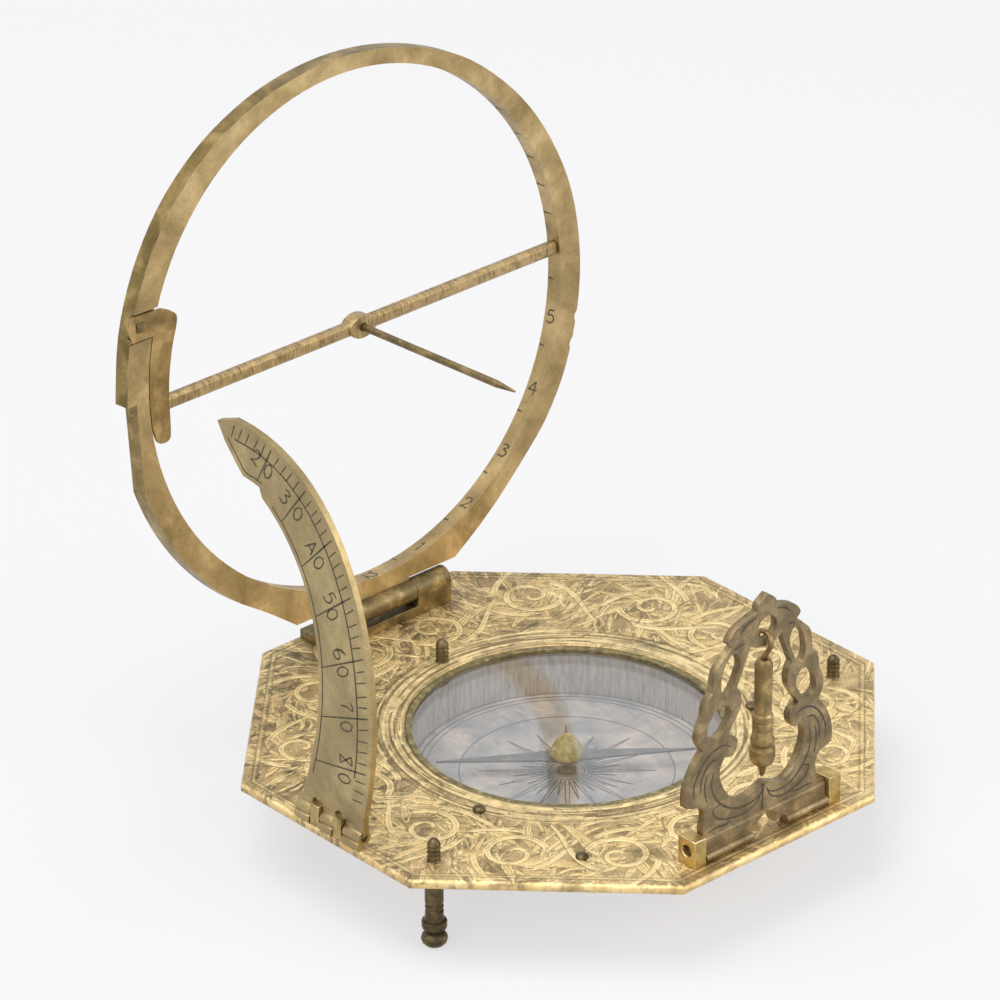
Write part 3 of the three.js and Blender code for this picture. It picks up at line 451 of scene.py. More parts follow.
dressing = [  # nodes, finish, slot, width of the eased edges
    ("hour_ring", "ringBrass", "brass", 0.13),
    ("gnomon_spring", "springBrass", "brass", 0.05),
    ("spring_rivet", "hingeBrass", "dark_brass", 0.08),
    ("bar_pivot_left bar_pivot_right", "hingeBrass", "dark_brass", 0.03),
    ("gnomon_bar", "barBrass", "brass", 0.05),
    ("gnomon_pin", "hingeBrass", "brass", 0.03),
    ("ring_hinge_leaf", "hingeBrass", "brass", 0.08),
    ("ring_hinge_pin", "footBrass", "dark_brass", 0.05),
    ("latitude_arc", "arcBrass", "brass", 0.06),
    ("arc_post_1 arc_post_2", "postBrass", "pale_brass", 0.08),
    ("arc_hinge_pin", "footBrass", "dark_brass", 0.05),
    ("plummet_frame", "frameBrass", "brass", 0.07),
    ("frame_block_left frame_block_right", "blockBrass", "pale_brass", 0.1),
    ("frame_pin_left frame_pin_right", "footBrass", "dark_brass", 0.06),
    ("plumb_bob bob_hook", "bobBrass", "brass", 0.03),
    ("foot_1 foot_2 foot_3", "footBrass", "dark_brass", 0.03),
    ("box_rivet_1 box_rivet_2 plate_rivet", "footBrass", "dark_brass", 0.05),
    ("compass_box", "boxBrass", "brass", 0.1),
    ("glass_ring", "rimBrass", "dark_brass", 0.04),
    ("needle_pivot", "darkSteel", "pale_brass", 0.03),
    ("compass_needle", "darkSteel", "blued_steel", 0.04),
    ("needle_cap", "capBrass", "pale_brass", 0.06),
]
pieces = {node: dress(node, finishes[name], ease)
          for nodes, name, slotName, ease in dressing for node in nodes.split()}

# how far the knuckle reaches from the hinge, and how a face of the outer wall lies
ringTones = {"knuckleReach": 2.4, "wallLean": 0.4, "wallOutward": 0.5}


def toneRing(piece):  # the ring's outer wall and its knuckle take darker brass finishes
    hinge, middle = jointPlace["ring_fold"], jointPlace["gnomon_turn"]
    axis = Vector(hinge - middle).cross(Vector((1, 0, 0))).normalized()
    materials = piece.data.materials
    wall, knuckle = len(materials), len(materials) + 1
    materials.append(finishes["ringRim"])
    materials.append(finishes["hingeBrass"])
    for face in piece.data.polygons:
        outward = face.center - Vector(middle * metre)
        outward -= outward.dot(axis) * axis
        outward.normalize()
        fromHinge = np.array(face.center) * perMetre - hinge
        if math.hypot(fromHinge[1], fromHinge[2]) < ringTones["knuckleReach"]:
            face.material_index = knuckle
        elif (abs(face.normal.dot(axis)) < ringTones["wallLean"]
                and face.normal.dot(outward) > ringTones["wallOutward"]):
            face.material_index = wall


toneRing(pieces["hour_ring"])
print("solid pieces dressed:", len(pieces))


# Marks: ribbons that stand a hair proud of the metal and reach a little way into it
mark = {"rise": 0.012, "sunk": 0.02}


def unit(vectors, spare=0.0):  # spare keeps a step of no length from being divided by nothing
    return vectors / (np.linalg.norm(vectors, axis=1)[:, None] + spare)


class Marks:
    def __init__(self):
        self.points = []
        self.faces = []

    def ribbon(self, path, normals, widths, closed=False):
        path = np.asarray(path, float)
        count = len(path)
        normals = np.broadcast_to(np.asarray(normals, float), path.shape)
        widths = np.broadcast_to(np.asarray(widths, float), (count,))
        ahead = np.roll(path, -1, axis=0) - path
        behind = path - np.roll(path, 1, axis=0)
        if not closed:
            ahead[-1] = behind[-1]
            behind[0] = ahead[0]
        side = np.cross(normals, unit(unit(ahead) + unit(behind))) * (widths / 2)[:, None]
        rise, sunk = mark["rise"], -mark["sunk"]
        first = len(self.points)
        for index in range(count):
            for reach, lift in ((-1, sunk), (-1, rise), (1, rise), (1, sunk)):
                self.points.append(path[index] + reach * side[index] + lift * normals[index])
        for index in range(count if closed else count - 1):
            start = first + 4 * index
            end = first + 4 * ((index + 1) % count)
            for corner in range(4):
                turn = (corner + 1) % 4
                self.faces.append((start + corner, end + corner, end + turn, start + turn))
        if not closed:
            last = first + 4 * (count - 1)
            self.faces.append((first, first + 1, first + 2, first + 3))
            self.faces.append((last + 3, last + 2, last + 1, last))

    def asPiece(self, name, finish, body):
        mesh = bpy.data.meshes.new(name)
        mesh.from_pydata([tuple(point * metre) for point in self.points], [], self.faces)
        mesh.materials.append(finish)
        addPiece(name, mesh, body)


def smooth(points, steps=6):
    points = [np.array(point, float) for point in points]
    points = [2 * points[0] - points[1], *points, 2 * points[-1] - points[-2]]
    curve = []
    for a, b, c, d in zip(points, points[1:], points[2:], points[3:]):
        for share in np.arange(steps) / steps:
            curve.append(0.5 * (2 * b + (c - a) * share + (2 * a - 5 * b + 4 * c - d) * share ** 2
                                + (3 * b - a - 3 * c + d) * share ** 3))
    return np.array([*curve, points[-2]])


# Figures drawn in a box 0.6 wide and 1 high
figureMiddle = (0.3, 0.5)
figureStrokes = {
    "0": [[(0.3, 1), (0.07, 0.75), (0.05, 0.3), (0.28, 0), (0.52, 0.25), (0.5, 0.75), (0.26, 1)]],
    "1": [[(0.16, 0.8), (0.34, 1)], [(0.34, 1), (0.32, 0)]],
    "2": [[(0.05, 0.74), (0.2, 0.98), (0.46, 0.9), (0.44, 0.55), (0.04, 0.04)],
          [(0.04, 0.04), (0.28, 0.1), (0.58, 0.02)]],
    "3": [[(0.08, 0.92), (0.3, 1), (0.5, 0.84), (0.22, 0.6)],
          [(0.22, 0.6), (0.54, 0.4), (0.4, 0.04), (0.04, 0.08)]],
    "4": [[(0.44, 0), (0.4, 1)], [(0.4, 1), (0.02, 0.34)], [(0.02, 0.34), (0.6, 0.38)]],
    "5": [[(0.5, 0.98), (0.14, 0.94)], [(0.14, 0.94), (0.1, 0.56)],
          [(0.1, 0.56), (0.42, 0.6), (0.52, 0.26), (0.3, 0), (0.04, 0.08)]],
    "6": [[(0.48, 0.98), (0.14, 0.66), (0.06, 0.24), (0.3, 0), (0.52, 0.24), (0.34, 0.5), (0.1, 0.34)]],
    "7": [[(0.03, 0.88), (0.28, 0.98), (0.56, 0.94)], [(0.56, 0.94), (0.3, 0.5), (0.22, 0)]],
    "8": [[(0.46, 0.86), (0.26, 1), (0.1, 0.8), (0.3, 0.54), (0.52, 0.26), (0.28, 0), (0.07, 0.22),
           (0.3, 0.54), (0.48, 0.78), (0.4, 0.96)]],
    "9": [[(0.5, 0.68), (0.28, 0.5), (0.08, 0.72), (0.26, 1), (0.5, 0.8), (0.46, 0.3), (0.2, 0)]],
}


def strokeLine(stroke):  # curved where it has more than two points
    return smooth(stroke, 5) if len(stroke) > 2 else np.linspace(*stroke, 4)


# Latitude scale on the arc's outer face; its lines point at the ring's hinge
arcSettings = {
    "height": 37.95,
    "outer": [(-0.1165, 0.086), (-0.21, 0.404), (-0.139, 1.012), (0.337, 1)],  # shares of the height
    "inner": [(0.115, 0.048), (0.012, 0.309), (-0.013, 0.66), (0.239, 0.826)],
    "tip": [(0.249, 0.852), (0.275, 0.856), (0.308, 0.859), (0.33, 0.88), (0.373, 0.929)],
    "back": 0.3,  # from the hinge to the face
    "rays": {10: 68.3, 20: 61.0, 30: 53.6, 40: 46.3, 50: 38.3, 60: 29.7, 70: 20.3, 80: 10.3, 84: 6.5,
             86: 4.5},  # the angle of each latitude's line
    "figures": {20: ((9.77, 35.26), (8.1, 34.46)), 30: ((5.81, 32.73), (4.03, 31.69)),
                40: ((2.22, 29.01), (1.22, 27.77)), 50: ((-0.23, 24.75), (-0.56, 23.16)),
                60: ((-1.43, 19.43), (-1.88, 17.74)), 70: ((-2.31, 14.26), (-2.27, 12.14)),
                80: ((-2.11, 8.59), (-1.87, 6.48))},
    "latitudes": range(10, 88, 2),
    "tickLine": 2.0,  # from the outer edge
    "tickLength": 1.4,
    "innerLine": 0.55,  # from the inner edge
    "scallop": (-0.4, 0.5),  # from the tip's edge to its line
    "bold": 0.17,
    "fine": 0.13,
    "slip": 0.05,  # how far the graver's hand wanders
    "swell": (0.8, 1.1, 1, 0.9, 0.6),
    "figureHeight": 1.75,
    "figureWidth": 0.16,
}
arcStrokes = {  # where the arc's figures differ from the ring's
    "4": [[(0.3, 1), (0.02, 0.0)], [(0.3, 1), (0.6, 0.02)], [(0.1, 0.34), (0.52, 0.36)]],
    "6": [[(0.44, 1), (0.16, 0.82), (0.03, 0.42), (0.14, 0.06), (0.42, 0.02), (0.56, 0.24), (0.42, 0.46),
           (0.12, 0.4)], [(0.34, 0.9), (0.13, 0.62), (0.1, 0.34)]],
    "8": [[(0.04, 0.98), (0.58, 0.94)], [(0.58, 0.94), (0.06, 0.04)], [(0.06, 0.04), (0.56, 0.0)],
          [(0.56, 0.0), (0.04, 0.98)]],
}


def bezier(points, steps=200):
    a, b, c, d = (np.array(point, float) for point in points)
    share = np.linspace(0, 1, steps)[:, None]
    return ((1 - share) ** 3 * a + 3 * share * (1 - share) ** 2 * b + 3 * share ** 2 * (1 - share) * c
            + share ** 3 * d)


def engraveArc():
    own = arcSettings
    centre = np.array([jointPlace["ring_fold"][1], jointPlace["ring_fold"][2] - plateTop])
    outer = bezier(own["outer"]) * own["height"]
    inner = np.concatenate([bezier(own["inner"]), smooth(own["tip"], 12)]) * own["height"]
    faceX = jointPlace["arc_fold"][0] - own["back"]
    marks = Marks()

    def cut(line, width):
        marks.ribbon([(faceX, y, plateTop + z) for y, z in line], (-1, 0, 0), width)

    def edgeAt(edge, ray):
        offsets = edge - centre
        angles = np.degrees(np.arctan2(offsets[:, 1], -offsets[:, 0]))
        return edge[np.argmin(np.abs(angles - ray))]

    def inset(edge, distance, start, end):
        line = np.array([edgeAt(edge, ray) for ray in np.linspace(start, end, 60)])
        forward = unit(np.gradient(line, axis=0), 1e-9)
        across = np.stack([forward[:, 1], -forward[:, 0]], axis=1)
        across *= np.sign((across * (centre - line)).sum(axis=1))[:, None]
        return smooth(line[::4] + across[::4] * distance, 4)

    def writeFigure(digit, middle, right, up):
        height = own["figureHeight"]
        for stroke in arcStrokes.get(digit, figureStrokes[digit]):
            line = [middle + right * (x - figureMiddle[0]) * height + up * (y - figureMiddle[1]) * height
                    for x, y in strokeLine(stroke)]
            swell = 0.65 + 0.5 * np.sin(np.pi * np.linspace(0.08, 0.92, len(line)))
            cut(line, own["figureWidth"] * swell)

    latitudes = sorted(own["rays"])
    rays = [own["rays"][latitude] for latitude in latitudes]
    cut(inset(outer, own["tickLine"], rays[0] + 0.5, rays[-1]), own["bold"])
    cut(inset(inner, -own["innerLine"], rays[2] + 3, rays[-1]), own["fine"])
    cut(smooth(own["tip"], 5) * own["height"] + own["scallop"], own["fine"])
    for latitude in own["latitudes"]:
        ray = np.interp(latitude, latitudes, rays)
        outside = edgeAt(outer, ray)
        towards = (centre - outside) / np.linalg.norm(centre - outside)
        start = outside + towards * (own["tickLine"] - own["tickLength"])
        end, width = outside + towards * own["tickLine"], own["fine"]
        figures = own["figures"].get(latitude, ())
        if figures:
            end, width = edgeAt(inner, ray) - towards * own["innerLine"], own["bold"]
        end = end + chance.normal(0, own["slip"], 2)
        cut(np.linspace(start, end, 5), width * np.array(own["swell"]))
        across = np.array([-towards[1], towards[0]])
        across *= np.sign(across[1])
        for digit, middle in zip(str(latitude), figures):
            writeFigure(digit, np.array(middle), -across, -towards)
    marks.asPiece("arc_scale", finishes["darkInk"], "arc")


engraveArc()


# Hour marks and figures on the hour ring's inner edge
ringSettings = {
    "radius": 26.0,
    "thick": 1.8,
    "hingeToCentre": 28.85,
    "noon": -90.0,
    "hour": 15.0,  # degrees
    "lastMark": 17,  # half hours from noon
    "barMark": 12,  # beyond it, above the bar, the full hours have marks too
    "markStart": (0.58, 0.3),  # shares of the thickness, below and above the bar
    "swell": (0.5, 0.8, 1.1, 1.5),
    "slip": 0.4,  # degrees that a mark may be off its place
    "width": 0.18,
    "figureHeight": 1.35,
    "figureWidth": 1.45,  # times the height's own 0.6
    "figureShift": -1.2,  # degrees
}


def engraveRing():
    own = ringSettings
    radius, thick, slip = own["radius"], own["thick"], own["slip"]
    hinge, axis = jointPlace["ring_fold"], jointPlace["gnomon_turn"]
    reach = axis - hinge
    lean = math.atan2(reach[2], reach[1])
    lean += math.atan2(thick / 2, own["hingeToCentre"])
    up = np.array([0, math.cos(lean), math.sin(lean)])
    out = np.array([0, -math.sin(lean), math.cos(lean)])
    across = np.array([1.0, 0, 0])
    centre = axis + out * thick / 2
    marks = Marks()

    def outward(angle):
        turn = math.radians(angle)
        return math.cos(turn) * across + math.sin(turn) * up

    def place(angle, depth):
        return centre + radius * outward(angle) - depth * out

    for step in range(-own["lastMark"], own["lastMark"] + 1):
        angle = own["noon"] + step * own["hour"] / 2 + chance.normal(0, slip)
        above = abs(step) > own["barMark"]
        if abs(step) % 2 == 0 and not above:
            continue
        depths = np.linspace(thick * own["markStart"][above], thick - 0.05, 4)
        line = [place(angle + chance.normal(0, 0.06), depth) for depth in depths]
        marks.ribbon(line, -outward(angle), own["width"] * np.array(own["swell"]))
    perDegree = math.radians(1) * radius
    height = own["figureHeight"]
    for side in (-1, 1):
        for hour in range(0 if side > 0 else 1, 6):
            angle = own["noon"] + side * own["hour"] * hour + own["figureShift"]
            angle += chance.normal(0, slip)
            name = str((hour if side > 0 else 12 - hour) or 12)
            narrow = own["figureWidth"] / len(name) ** 0.5
            for index, digit in enumerate(name):
                shift = (index - (len(name) - 1) / 2) * 0.5 * height * narrow
                for stroke in figureStrokes[digit]:
                    line = []
                    for x, y in strokeLine(stroke):
                        turn = side * (y - figureMiddle[1]) * height / perDegree
                        depth = thick / 2 - side * ((x - figureMiddle[0]) * height * narrow + shift)
                        line.append(place(angle + turn, depth))
                    marks.ribbon(line, -outward(angle), own["width"])
    marks.asPiece("ring_figures", finishes["darkInk"], "ring")


engraveRing()


# Engraving on the plummet frame's front, as lines in shares of its height and half width
frameSettings = {
    "height": 24.97,
    "right": 8.61,
    "left": 10.0,
    "thick": 0.8,
    "lineWidth": 0.2,
    "lines": [  # for the right half; the left half mirrors them
        [(0.04, 0.17), (0.15, 0.152), (0.33, 0.152), (0.5, 0.185), (0.63, 0.24), (0.68, 0.3), (0.66, 0.35)],
        [(0.03, 0.185), (0.1, 0.14), (0.26, 0.118), (0.46, 0.128), (0.6, 0.15), (0.66, 0.19), (0.58, 0.205)],
        [(0.72, 0.108), (0.6, 0.112), (0.5, 0.108), (0.42, 0.114)],
        [(0.44, 0.43), (0.55, 0.45), (0.7, 0.436), (0.82, 0.395), (0.9, 0.335), (0.9, 0.28)],
        [(0.62, 0.405), (0.72, 0.395), (0.8, 0.35), (0.82, 0.29)],
        [(0.74, 0.35), (0.77, 0.3), (0.74, 0.24)],
        [(0.42, 0.83), (0.3, 0.838)],
        [(0.14, 0.925), (0.26, 0.91), (0.34, 0.885)],
    ],
    "index": ((-0.02, 0.206), (-0.03, 0.1)),  # the groove above the notch
    "indexWidths": [0.5, 0.34, 0.2, 0.18, 0.24, 0.34],
}


def engraveFrame():
    own = frameSettings
    faceY = jointPlace["frame_fold"][1] - own["thick"] / 2
    marks = Marks()

    def place(x, z):
        half = own["right"] if x > 0 else own["left"]
        return (x * half, faceY, plateTop + z * own["height"])

    for line in own["lines"]:
        drawn = smooth(line, 6)
        swell = 0.35 + 0.8 * np.sin(np.pi * np.linspace(0.06, 0.94, len(drawn)))
        for side in (-1, 1):
            marks.ribbon([place(side * x, z) for x, z in drawn], (0, -1, 0), own["lineWidth"] * swell)
    index = np.linspace(*own["index"], len(own["indexWidths"]))
    marks.ribbon([place(x, z) for x, z in index], (0, -1, 0), own["indexWidths"])
    marks.asPiece("frame_engraving", finishes["darkInk"], "frame")


engraveFrame()


# The dial: silvered, and printed with a sun-ray rose inside its circles
dialSettings = {
    "circles": [(14.2, 0.15), (13.6, 0.1), (10.3, 0.13), (1.7, 0.12)],  # radius and width
    "rays": 32,
    "firstRay": 3,  # degrees
    "rayFoot": 1.9,
    "rayReaches": (8.6, 5.4, 7.2, 4.8),
    "raySpread": 0.42,  # of the room that each ray has
    "raySides": {-1: 0.15, 1: 0.1},  # the line on each side, and its width
    "taper": 1.2,
    "hatchWidth": 0.07,
    "ink": (84, 85, 88),
    "silver": ((142, 146, 152), (206, 194, 184)),
    "smearTone": (118, 122, 126),
    "weaveTone": (132, 130, 128),
    "scratchTone": (190, 184, 176),
}


def printDial():
    own = dialSettings
    upward = (0, 0, 1)
    marks = Marks()

    def place(radius, angle):
        turn = math.radians(angle)
        return (radius * math.cos(turn), radius * math.sin(turn), dialTop)

    for radius, width in own["circles"]:
        marks.ribbon([place(radius, angle) for angle in np.arange(0, 360, 2.5)], upward, width, closed=True)
    room = 360 / own["rays"]
    spread = room * own["raySpread"]
    foot = own["rayFoot"]
    for index in range(own["rays"]):
        angle = 360 * index / own["rays"] + own["firstRay"]
        reach = own["rayReaches"][index % 4] * (1 + chance.normal(0, 0.03)) - foot
        for side, width in own["raySides"].items():
            line = [place(foot + reach * share, angle + side * spread * (1 - share) ** own["taper"])
                    for share in np.linspace(0, 0.985, 9)]
            marks.ribbon(line, upward, width)
        for share in np.linspace(0.1, 0.8, 7):
            radius = foot + reach * share
            turn = spread * (1 - share) ** own["taper"] * 0.9
            marks.ribbon([place(radius, angle), place(radius + 0.12, angle + turn)], upward,
                         own["hatchWidth"])
    marks.asPiece("dial_print", markInk("dial_print_ink", own["ink"], 0.5), "base")


def silverDial():
    finish, shader, place = newFinish("silvered_dial")
    cloud = noiseAt(place, 4.5, 6, 0.6, 0.6)
    colour = ramp(between(cloud, 0.36, 0.66), list(enumerate(dialSettings["silver"])))
    smear = noiseAt(stretched(place, (1.0, 0.5, 1)), 1.6, 6, 0.7)
    colour = tinted(colour, smear, 0.52, 0.7, 0.6, dialSettings["smearTone"])
    weave = noiseAt(stretched(place, (6, 0.6, 1)), 0.8, 3, 0.6)
    colour = tinted(colour, weave, 0.5, 0.7, 0.35, dialSettings["weaveTone"])
    scratches = noiseAt(stretched(place, (0.25, 5, 1)), 0.4, 3, 0.6)
    colour = tinted(colour, scratches, 0.6, 0.75, 0.35, dialSettings["scratchTone"])
    feed(shader, {"Base Color": colour, "Metallic": 0.35,
                  "Roughness": between(cloud, 0.3, 0.7, 0.38, 0.55),
                  "Normal": bumps(scratches, 0.01)})
    return finish


printDial()
dress("compass_dial", silverDial(), 0.05)
print("marks and dial ready")

# facing and grazing: how much of the glass itself is seen from the front and at a slant
glassSettings = {"tint": (0.93, 0.94, 0.93), "facing": 0.05, "grazing": 0.5, "power": 3}


def glazeWindow():
    finish, shader, place = newFinish("window_glass")
    smudge = noiseAt(stretched(place, (2.2, 0.5, 1)), 1.4, 6, 0.7)
    facing = addNode(shader, "LayerWeight", {})["Facing"]
    slant = mathNode("POWER", facing, glassSettings["power"])
    feed(shader, {"Base Color": (*glassSettings["tint"], 1), "Metallic": 1,
                  "Roughness": between(smudge, 0.4, 0.75, 0.03, 0.09),
                  "Alpha": between(slant, 0, 1, glassSettings["facing"], glassSettings["grazing"])})
    finish.surface_render_method = "BLENDED"
    dress("compass_glass", finish, 0.05)


glazeWindow()


# The base plate: one closed skin, engraved on top
plate = {
    "columns": 2240,
    "rows": 136,
    "windowRadius": 15.44,
    "windowEase": 0.06,
    "bevel": 0.2,
    "wear": 0.5,  # how unevenly the bevel's upper edge is rubbed
    "grooveDepth": 0.055,
    "half": 31.5,  # of the grid that the engraving is drawn on
    "cell": 0.05,
}
ornament = {
    "strokes": 2600,
    "strokeZone": (16, 32),  # radii
    "leaves": 430,
    "leafZone": (18.4, 31),
    "scrolls": 16,
    "scrollReach": 23.4,
    "plumes": 8,  # round each scroll
    "bands": ((50, 3.3), (170, 3.9), (290, 3.6)),  # turn and reach of the long bands round each scroll
    "bandWidth": 0.36,
    "spiralWidth": 0.42,
    "rounds": 760,  # turned lines round the window
    "roundZone": (15.7, 18.3),
    "borders": ((0.95, 0.06, -0.8), (1.1, 0.04, 0.5), (1.45, 0.04, -0.7)),  # inset, width and tone; a tone above 0 is a painted highlight line
}


class Engraving:  # depth, dark, painted highlight and leaf over a fine grid of the plate's top
    def __init__(self):
        self.count = int(2 * plate["half"] / plate["cell"]) + 1
        self.fields = {name: np.zeros((self.count, self.count))
                       for name in ("depth", "dark", "bright", "leaf")}

    def strip(self, spine, widths, paint):  # painted over what lies there
        steps = np.linalg.norm(np.diff(spine, axis=0), axis=1)
        length = np.concatenate([[0], np.cumsum(steps)])
        rows = max(4, int(length[-1] / plate["cell"] * 1.5))
        at = np.linspace(0, length[-1], rows)
        line = np.stack([np.interp(at, length, spine[:, axis]) for axis in (0, 1)], axis=1)
        forward = unit(np.gradient(line, axis=0), 1e-9)
        half = np.interp(at, length, np.broadcast_to(widths, len(spine)))[:, None]
        columns = max(3, int(half.max() / plate["cell"] * 3))
        share, side = at[:, None] / length[-1], np.linspace(-1, 1, columns)[None, :]
        x = line[:, :1] - forward[:, 1:] * half * side
        y = line[:, 1:] + forward[:, :1] * half * side
        column = np.round((x + plate["half"]) / plate["cell"]).astype(int)
        row = np.round((y + plate["half"]) / plate["cell"]).astype(int)
        keep = (column >= 0) & (row >= 0) & (column < self.count) & (row < self.count)
        for name, values in paint(share, side, half, length[-1]).items():
            self.fields[name][row[keep], column[keep]] = np.broadcast_to(values, x.shape)[keep]


def flow(start, heading, length, bends, step=0.2):
    count = max(4, int(length / step))
    turn = np.linspace(bends[0], bends[1], count) * length / count
    angles = np.radians(heading + np.concatenate([[0], np.cumsum(turn)[:-1]]))
    moves = np.stack([np.cos(angles), np.sin(angles)], axis=1) * length / count
    return np.array(start) + np.concatenate([[[0, 0]], np.cumsum(moves, axis=0)])


def polar(radius, degrees):
    turn = np.radians(degrees)
    return np.stack([radius * np.cos(turn), radius * np.sin(turn)], axis=-1)


def cutLine(tone):  # one stroke of the graver: a painted highlight for a positive tone, a dark cut for a negative one
    def paint(share, side, half, length):
        return {"bright": max(tone, 0), "dark": max(-tone, 0), "depth": 0.5 + 0.3 * (tone < 0)}
    return paint


def leafCuts(lines):  # ridges with a painted highlight beside dark grooves, each of its own length; a painted highlight also runs inside the leaf's dark rim
    starts, ends = chance.uniform(0, 0.3, lines + 1), chance.uniform(0.6, 1.05, lines + 1)
    force = chance.uniform(0.25, 1.0, lines + 1)
    rimForce = chance.uniform(0.5, 1.0, 2)

    def paint(share, side, half, length):
        across = (side + 1) / 2 * lines + 0.18 * np.sin(share * 5)
        index = np.clip(across.astype(int), 0, lines)
        part = across - index
        live = ((share > starts[index]) & (share < ends[index])) * force[index]
        ridge = np.clip(1.1 - np.abs(part - 0.5) / 0.3, 0, 1) * live
        groove = np.clip(1 - np.minimum(part, 1 - part) / 0.22, 0, 1) * live
        rim = np.abs(side) > 1 - 0.09 / np.maximum(half, 0.12)
        inside = (np.abs(side) > 1 - 0.22 / np.maximum(half, 0.24)) & ~rim
        edge = np.where(side < 0, rimForce[0], rimForce[1])
        bright = np.where(rim, 0, np.where(inside, 0.9 * edge, ridge))
        return {"leaf": 1.0, "bright": bright, "dark": np.where(rim, 0.8 * edge, groove * ~inside),
                "depth": np.where(rim, 1.0, groove * 0.7)}
    return paint


def plume(art, start, heading, length, bends, width, lobes=0):
    spine = flow(start, heading, length, bends)
    share = np.linspace(0, 1, len(spine))
    widths = width * (0.1 + np.sin(np.pi * share ** 0.7)) ** 0.8
    if lobes:
        widths = widths * (0.8 + 0.28 * np.abs(np.sin(np.pi * lobes * share)))
    art.strip(spine, widths, leafCuts(max(3, int(2 * width / 0.27))))


# A gold band with a faint painted highlight between two lines of painted highlight, with a dark cut on each
# side
def doubleLine(share, side, half, length):
    rim = np.abs(side) > 0.8
    line = (np.abs(side) > 0.4) & ~rim
    bright = np.where(line, 1.0, 0.45 * ~rim) * np.ones_like(share)
    return {"leaf": 1.0, "bright": bright, "dark": np.where(rim, 1.0, 0), "depth": np.where(rim, 1.0, 0)}


def drift(point, eyes):  # the way the foliage runs at a point
    total = 0.25 * np.array([-point[1], point[0]]) / np.linalg.norm(point)
    for middle, sense in eyes:
        away = point - middle
        weight = sense * math.exp(-away @ away / 30) / (np.linalg.norm(away) + 0.3)
        total += weight * np.array([-away[1], away[0]])
    return math.degrees(math.atan2(total[1], total[0]))


def somewhere(zone):  # a place between two radii, evenly spread
    return polar(math.sqrt(chance.uniform(zone[0] ** 2, zone[1] ** 2)), chance.uniform(0, 360))


def hatch(art, eyes, count):
    for _ in range(count):
        start = somewhere(ornament["strokeZone"])
        bend = chance.normal(0, 12)
        heading = drift(start, eyes) + chance.normal(0, 16)
        line = flow(start, heading, chance.uniform(0.8, 3.4), (bend, bend))
        width = chance.uniform(0.035, 0.07)
        art.strip(line, width, cutLine(chance.choice([0.9, 0.6, 0.45, -0.5, -0.8])))


def drawScroll(art, middle, sense):
    outward = math.degrees(math.atan2(middle[1], middle[0]))
    for step in range(ornament["plumes"]):
        angle = outward + sense * (step * 360 / ornament["plumes"] + chance.normal(0, 12)) + 180
        start = middle + polar(chance.uniform(1.2, 2.4), angle)
        heading = angle + sense * chance.uniform(50, 80)
        plume(art, start, heading, chance.uniform(3.6, 7),
              (sense * chance.uniform(0, 8), -sense * chance.uniform(8, 26)),
              chance.uniform(0.3, 0.62), int(chance.integers(2, 6)))
    for turn, reach in ornament["bands"]:
        angle = outward + sense * turn + chance.normal(0, 12)
        band = flow(middle + polar(reach, angle), angle + sense * 80, chance.uniform(6, 10),
                    (sense * 15, -sense * 9))
        taper = 0.24 * np.linspace(0, 1, len(band)) ** 2
        art.strip(band, ornament["bandWidth"] - taper, doubleLine)
    share = np.linspace(0, 1, 90)
    spiral = polar(2.9 * (1 - share) ** 0.85 + 0.3, outward + sense * (120 + 470 * share))
    art.strip(middle + spiral, ornament["spiralWidth"] - 0.22 * share, doubleLine)


def drawOrnament():
    art = Engraving()
    eyes = []
    for index in range(ornament["scrolls"]):
        turn = (index + 0.5) * 360 / ornament["scrolls"] + chance.normal(0, 2.5)
        reach = ornament["scrollReach"] + (1.2 if index % 4 in (1, 2) else -0.3) + chance.normal(0, 0.6)
        eyes.append((polar(reach, turn), 1 if index % 2 else -1))
    hatch(art, eyes, ornament["strokes"])
    for _ in range(ornament["leaves"]):
        start = somewhere(ornament["leafZone"])
        heading = drift(start, eyes) + chance.normal(0, 14)
        plume(art, start, heading, chance.uniform(2.2, 5.5), (chance.normal(0, 10), chance.normal(0, 22)),
              chance.uniform(0.16, 0.42), int(chance.integers(0, 3)))
    for middle, sense in eyes:
        drawScroll(art, middle, sense)
    hatch(art, eyes, ornament["strokes"] // 8)
    for _ in range(ornament["rounds"]):
        radius, turn = chance.uniform(*ornament["roundZone"]), chance.uniform(0, 360)
        sway = 0.05 * np.sin(np.linspace(0, 3, 40))
        arc = polar(radius + sway, turn + np.linspace(0, chance.uniform(8, 50), 40))
        art.strip(arc, chance.uniform(0.04, 0.09), cutLine(chance.choice([1, 0.8, 0.6, -0.5, -0.8])))
    for inset, width, tone in ornament["borders"]:
        line = outlinePoints(inset, 640)
        art.strip(np.concatenate([line, line[:1]]), width, cutLine(tone))
    return art.fields


def outlinePoints(inset, columns):
    corners = np.array([vertex.co for vertex in frame["nodes"]["base_plate"].data.vertices]) * perMetre
    lowest, highest = low("base_plate"), high("base_plate")
    middle, half = (lowest + highest) / 2, (highest - lowest) / 2
    edge = corners[corners[:, 0] > highest[0] - 0.001]
    leg = half[1] - (edge[:, 1].max() - middle[1])
    x, y = half[0] - inset, half[1] - inset
    cutLeg = leg - inset * (2 - math.sqrt(2))
    corners = np.array([(x, cutLeg - y), (x, y - cutLeg), (x - cutLeg, y), (cutLeg - x, y),
                        (-x, y - cutLeg), (-x, cutLeg - y), (cutLeg - x, -y), (x - cutLeg, -y)]) + middle[:2]
    each = columns // 8
    share = (np.arange(each) / each)[:, None]
    return np.concatenate([corners[i] * (1 - share) + corners[(i + 1) % 8] * share for i in range(8)])


